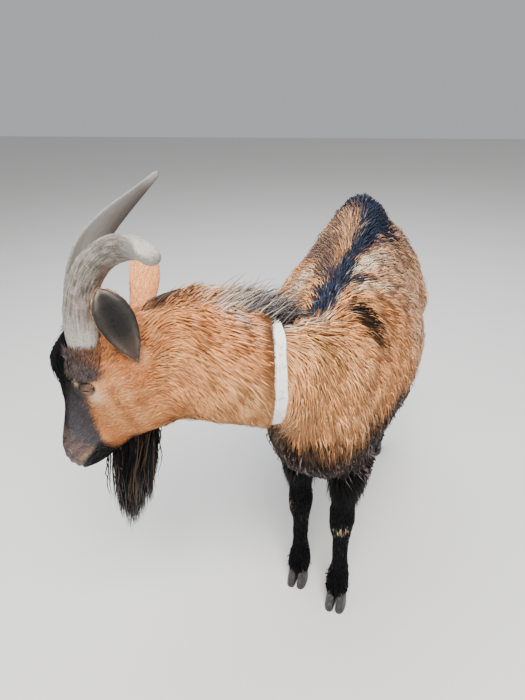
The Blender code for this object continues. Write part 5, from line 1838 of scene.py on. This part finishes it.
def make_forelock(surface):
    """Dark tuft between the horns that swells over the forehead and closes on the bridge of the nose."""
    rng = np.random.default_rng(61)
    count = FORELOCK_TUFTS
    across = rng.normal(size=count) * 0.017
    ahead = 0.018 + rng.uniform(size=count) * 0.074
    start = np.stack((ahead, 0.05 + 0 * ahead, across), axis=1)
    roots, normals, maps = place_on_skin(surface, start, np.array((0.15, 1.0, 0.0)))
    length = 0.050 * varied(rng, count, 0.16)[:, None]
    noise = rng.normal(size=(count, 3)) * 0.09
    fall = step(0.024, 0.050, ahead)
    flow = unit(np.stack((-0.30 + 1.3 * fall, 1.0 - 1.40 * fall, across * 5), axis=1) + noise)
    flow = from_head(flow)
    swell = 0.019 * (0.40 + 0.60 * np.sqrt(rng.uniform(size=count)))
    swell = swell * step(0.045, 0.022, np.abs(across)) * step(0.000, 0.030, ahead)
    middles = roots + flow * length * 0.45
    tips = middles + flow * length * 0.60
    standing = swell / 0.019 * (1 - fall)
    closing = swell * (0.75 - 0.55 * step(0.045, 0.085, ahead))
    surface.lift(middles, swell + 0.012 * standing)
    surface.lift(tips, closing + 0.030 * standing)
    base = np.array(BLACK) * varied(rng, count, 0.3)[:, None]
    tip_colour = base * 1.6 + 0.002
    widths = 0.0022 * varied(rng, count, 0.25)
    return build_tufts("forelock", roots - normals * 0.003, middles, tips, normals, widths,
                       (base * 0.7, base, tip_colour), maps, 4)


def along_rows(share, rows):
    """Values between evenly spaced rows."""
    places = np.linspace(0, 1, len(rows))
    return np.stack([np.interp(share, places, column) for column in np.array(rows).T], axis=1)


def make_mane(surface):
    """Long hair of the crest that stands over the strap and fills the dip before the withers."""
    rng = np.random.default_rng(67)
    count = MANE_TUFTS
    share = rng.uniform(size=count)
    spots = along_rows(share, MANE_LINE)
    spots += rng.normal(size=(count, 3)) * (0.016, 0.016, 0.010)
    roots, normals, maps = nearest_on_skin(surface, spots)
    tall = np.interp(share, (0.0, 0.20, 0.45, 0.62, 0.78, 1.0), (0.12, 0.22, 0.70, 0.95, 0.75, 0.15))
    length = (0.034 + 0.052 * tall) * varied(rng, count, 0.18)
    stand = (0.20 + 0.62 * tall) * varied(rng, count, 0.15)
    flow = laid(np.array((0.62, 0.62, 0.0)) + 0 * roots, normals)
    up = np.array((-0.18, 0.0, 0.98))
    way = unit(flow + up * stand[:, None] + rng.normal(size=(count, 3)) * 0.10)
    end = unit(flow * 1.1 + up * (stand - 0.35)[:, None] + rng.normal(size=(count, 3)) * 0.18)
    middles = roots + way * (length * 0.5)[:, None]
    tips = middles + end * (length * 0.55)[:, None]
    surface.lift_over(middles, 0.012)
    surface.lift_over(tips, 0.016)
    base = along_rows(share + rng.normal(size=count) * 0.06, MANE_COLOURS)
    base = base * varied(rng, count, 0.30)[:, None]
    pale = (rng.uniform(size=count) < 0.22 * step(0.25, 0.45, share))[:, None]
    base = np.where(pale, base * 0.4 + np.array((0.46, 0.41, 0.36)), base)
    widths = 0.0021 * varied(rng, count, 0.25)
    return build_tufts("mane", roots - normals * 0.003, middles, tips, normals, widths,
                       (base * 0.7, base, base * 1.15 + 0.008), maps, 4)


def make_horn_fringe(surface):
    """Short hair that stands round the roots of the horns and laps over them."""
    rng = np.random.default_rng(65)
    spots = []
    ways = []
    for side in HORNS:
        sign = SIGNS[side]
        axis, forward, across = horn_frame(side)
        for _ in range(FRINGE_TUFTS):
            angle = rng.uniform(0, 2 * math.pi)
            out = forward * math.cos(angle) * HORN_DEPTH * 0.5 + across * math.sin(angle) * HORN_BREADTH * 0.5
            spot = HORN_ROOT + out * 1.12 - axis * rng.uniform(0.017, 0.034)
            lean = axis + out.normalized() * rng.uniform(0.00, 0.35)
            spots.append(on_side(spot, sign))
            ways.append(on_side(lean, sign))
    roots, normals, maps = nearest_on_skin(surface, from_head(np.array(spots)) + POLL_POINT)
    ways = unit(from_head(unit(np.array(ways)) + rng.normal(size=(len(spots), 3)) * 0.16))
    length = (0.015 * varied(rng, len(spots), 0.25))[:, None]
    middles = roots + ways * length * 0.5
    tips = middles + unit(ways + 0.2 * rng.normal(size=ways.shape)) * length * 0.5
    colours = shade(roots, rng, 0.003, 0.25)
    widths = 0.0016 * varied(rng, len(spots), 0.2)
    return build_tufts("horn_fringe", roots - normals * 0.002, middles, tips, normals, widths, colours, maps, 3)


def nearest_on_skin(surface, spots):
    return surface.roots([surface.tree.find_nearest(Vector(spot)) for spot in spots])


def make_ear_hair(surface):
    """Short hair over both sides of the ears, finer inside the cup."""
    found = surface.sample(surface.ear * float(EAR_DENSITY), 71)
    points, normals, rng = found["points"], found["normals"], found["rng"]
    count = len(points)
    inward = normals @ HEAD_AXES
    flow = np.zeros((count, 3))
    cup = np.zeros(count)
    shares = np.zeros(count)
    for share, inside, opening, along in in_ear(points).values():
        flow = np.where(inside[:, None], from_head(along), flow)
        cup += inside * step(0.0, 0.5, inward @ unit(opening - along * (opening @ along)))
        shares = np.maximum(shares, np.where(inside, share, 0))
    flow = laid(flow, normals)
    length = (0.0100 - 0.0030 * cup) * (1 - 0.5 * step(0.85, 1.0, shares))
    side = np.cross(normals, flow)
    lean = (rng.normal(size=count) * 0.20)[:, None]
    stand = (0.12 - 0.05 * cup)[:, None]
    middles = points + unit(flow + normals * stand + side * lean) * (length * 0.5)[:, None]
    tips = middles + unit(flow - normals * 0.04 + side * lean * 1.3) * (length * 0.55)[:, None]
    # These colours carry the painted shade inside the ears' cups
    base = ear_colours(points, normals, np.tile(np.array(TAN), (count, 1)), np.ones(count))
    base = base * varied(rng, count, 0.16)[:, None]
    widths = (0.0009 - 0.0003 * cup) * varied(rng, count, 0.2)
    return build_tufts("coat_ears", points - normals * 0.0008, middles, tips, normals, widths,
                       (base * 0.7, base, base * 1.15 + 0.01), found["map"], 2, flatness=0.25)


# Stage


def make_stage(settings):
    bm = bmesh.new()
    bmesh.ops.create_grid(bm, x_segments=2, y_segments=2, size=9.0)
    floor = from_bmesh("floor", bm, floor_material(), moved=False)
    for name, place, size, power, colour in LIGHTS:
        light = bpy.data.lights.new(name, "AREA")
        light.size = size
        light.energy = power * settings.light
        light.color = colour
        lamp = bpy.data.objects.new(name, light)
        lamp.location = place
        lamp.rotation_euler = (LIGHT_AIM - Vector(place)).to_track_quat("-Z", "Y").to_euler()
        bpy.context.scene.collection.objects.link(lamp)
    world = bpy.data.worlds.new("studio")
    world.use_nodes = True
    sky = world.node_tree.nodes["Background"].inputs
    sky["Color"].default_value = SKY_COLOUR
    sky["Strength"].default_value = SKY_STRENGTH
    bpy.context.scene.world = world


def make_camera():
    """Camera at the photograph's place, angle and field of view."""
    turn, dip, roll = CAMERA_TURN
    ahead = Vector((-math.sin(turn), math.cos(turn), 0.0))
    right = Vector((math.cos(turn), math.sin(turn), 0.0))
    look = math.cos(dip) * ahead - math.sin(dip) * Z_AXIS
    top = math.sin(dip) * ahead + math.cos(dip) * Z_AXIS
    across = right * math.cos(roll) - top * math.sin(roll)
    rise = top * math.cos(roll) + right * math.sin(roll)
    data = bpy.data.cameras.new("camera")
    data.sensor_fit = "VERTICAL"
    data.sensor_height = SENSOR_HEIGHT
    data.lens = FOCAL_LENGTH_PX / PHOTO_HEIGHT_PX * SENSOR_HEIGHT
    camera = bpy.data.objects.new("camera", data)
    turned = Matrix((across, rise, -look)).transposed().to_4x4()
    camera.matrix_world = Matrix.Translation(CAMERA_PLACE + SHIFT) @ turned
    bpy.context.scene.collection.objects.link(camera)
    bpy.context.scene.camera = camera


# Add-on


class GoatSettings(bpy.types.PropertyGroup):
    density: bpy.props.FloatProperty(
        name="Coat density", description="Share of the full count of tufts", default=1.0, min=0.05, max=1.5)
    tuft_width: bpy.props.FloatProperty(
        name="Tuft width", description="Width of a tuft of the body's coat", default=0.0027, min=0.001,
        unit="LENGTH")
    light: bpy.props.FloatProperty(
        name="Light", description="Strength of the studio lights", default=1.0, min=0.0)


class PieceOperator:
    bl_options = {"REGISTER", "UNDO"}

    def execute(self, context):
        self.build(context.scene.goat_looks)
        return {"FINISHED"}


class GOAT_OT_skin(PieceOperator, bpy.types.Operator):
    """Build the one skin with ears and lids"""
    bl_idname = "goat.build_skin"
    bl_label = "Skin"

    def build(self, settings):
        skin = make_skin()
        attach(skin, "root")
        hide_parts("torso", "neck", "head", "tail", "ear_left", "ear_right", "leg_fore_left",
                    "leg_fore_right", "leg_hind_left", "leg_hind_right")


class GOAT_OT_body_coat(PieceOperator, bpy.types.Operator):
    """Grow the coat of the trunk"""
    bl_idname = "goat.grow_body_coat"
    bl_label = "Body coat"

    def build(self, settings):
        surface = surface_of_skin()
        density = TRUNK_DENSITY * settings.density
        for index, part in enumerate(TRUNK_PARTS):
            made = grow(surface, f"coat_{part}", trunk_mask(part), density, 101 + index, settings.tuft_width,
                        droop=0.08, sway=0.11)


class GOAT_OT_neck_coat(PieceOperator, bpy.types.Operator):
    """Grow the coat of the neck"""
    bl_idname = "goat.grow_neck_coat"
    bl_label = "Neck coat"

    def build(self, settings):
        surface = surface_of_skin()
        density = NECK_DENSITY * settings.density
        for index, (side, sign) in enumerate(SIGNS.items()):
            made = grow(surface, f"coat_neck_{side}", neck_mask(sign), density, 111 + index,
                        settings.tuft_width * 0.85, droop=0.10, sway=0.12)
        make_mane(surface)


class GOAT_OT_head_coat(PieceOperator, bpy.types.Operator):
    """Grow the short coat of the head and ears"""
    bl_idname = "goat.grow_head_coat"
    bl_label = "Head coat"

    def build(self, settings):
        surface = surface_of_skin()
        density = HEAD_DENSITY * settings.density
        for index, (side, sign) in enumerate(SIGNS.items()):
            made = grow(surface, f"coat_head_{side}", head_mask(sign), density, 121 + index, 0.0013,
                        droop=0.03, sway=0.14, contrast=0.16, spread=0.0025)
        make_ear_hair(surface)
        make_forelock(surface)
        make_horn_fringe(surface)


class GOAT_OT_beard(PieceOperator, bpy.types.Operator):
    """Grow the beard"""
    bl_idname = "goat.grow_beard"
    bl_label = "Beard"

    def build(self, settings):
        make_beard(surface_of_skin())


class GOAT_OT_leg_coat(PieceOperator, bpy.types.Operator):
    """Grow the short coat of the legs and the tail's hair"""
    bl_idname = "goat.grow_leg_coat"
    bl_label = "Leg coat"

    def build(self, settings):
        surface = surface_of_skin()
        density = LEG_DENSITY * settings.density
        for index, pair in enumerate(("fore", "hind")):
            made = grow(surface, f"coat_legs_{pair}", leg_mask(pair), density, 131 + index, 0.0026, droop=0.10)
        made = grow(surface, "coat_tail", tail_mask, TAIL_DENSITY * settings.density, 132, 0.0028, droop=0.50,
                    rings=3)


class GOAT_OT_eyes(PieceOperator, bpy.types.Operator):
    """Build the eyeballs"""
    bl_idname = "goat.build_eyes"
    bl_label = "Eyes"

    def build(self, settings):
        for side, sign in SIGNS.items():
            make_eye(side, sign)


class GOAT_OT_horns(PieceOperator, bpy.types.Operator):
    """Build the ringed horns"""
    bl_idname = "goat.build_horns"
    bl_label = "Horns"

    def build(self, settings):
        for side in HORNS:
            make_horn(side)


class GOAT_OT_hooves(PieceOperator, bpy.types.Operator):
    """Build the cloven hooves"""
    bl_idname = "goat.build_hooves"
    bl_label = "Hooves"

    def build(self, settings):
        for pair, spots in (("fore", FORE_LEGS), ("hind", HIND_LEGS)):
            for side, spot in spots.items():
                make_hoof(f"hoof_{pair}_{side}", spot["toe"])


class GOAT_OT_collar(PieceOperator, bpy.types.Operator):
    """Build the collar"""
    bl_idname = "goat.build_collar"
    bl_label = "Collar"

    def build(self, settings):
        make_collar(surface_of_skin())


class GOAT_OT_stage(PieceOperator, bpy.types.Operator):
    """Build the floor, the lights and the camera"""
    bl_idname = "goat.build_stage"
    bl_label = "Stage"

    def build(self, settings):
        make_stage(settings)
        make_camera()


OPERATORS = (GOAT_OT_stage, GOAT_OT_skin, GOAT_OT_eyes, GOAT_OT_horns, GOAT_OT_hooves, GOAT_OT_collar,
             GOAT_OT_body_coat, GOAT_OT_neck_coat, GOAT_OT_head_coat, GOAT_OT_beard, GOAT_OT_leg_coat)


class GOAT_PT_panel(bpy.types.Panel):
    bl_idname = "GOAT_PT_panel"
    bl_label = "Goat"
    bl_space_type = "VIEW_3D"
    bl_region_type = "UI"
    bl_category = "Goat"

    def draw(self, context):
        for name in GoatSettings.__annotations__:
            self.layout.prop(context.scene.goat_looks, name)
        for operator in OPERATORS:
            self.layout.operator(operator.bl_idname)


def register():
    for item in (GoatSettings, *OPERATORS, GOAT_PT_panel):
        bpy.utils.register_class(item)
    bpy.types.Scene.goat_looks = bpy.props.PointerProperty(type=GoatSettings)


def unregister():
    del bpy.types.Scene.goat_looks
    for item in (GOAT_PT_panel, *reversed(OPERATORS), GoatSettings):
        bpy.utils.unregister_class(item)


def main():
    register()
    for operator in OPERATORS:
        piece = operator.bl_idname.split(".")[1]
        getattr(bpy.ops.goat, piece)()


if __name__ == "__main__":
    main()
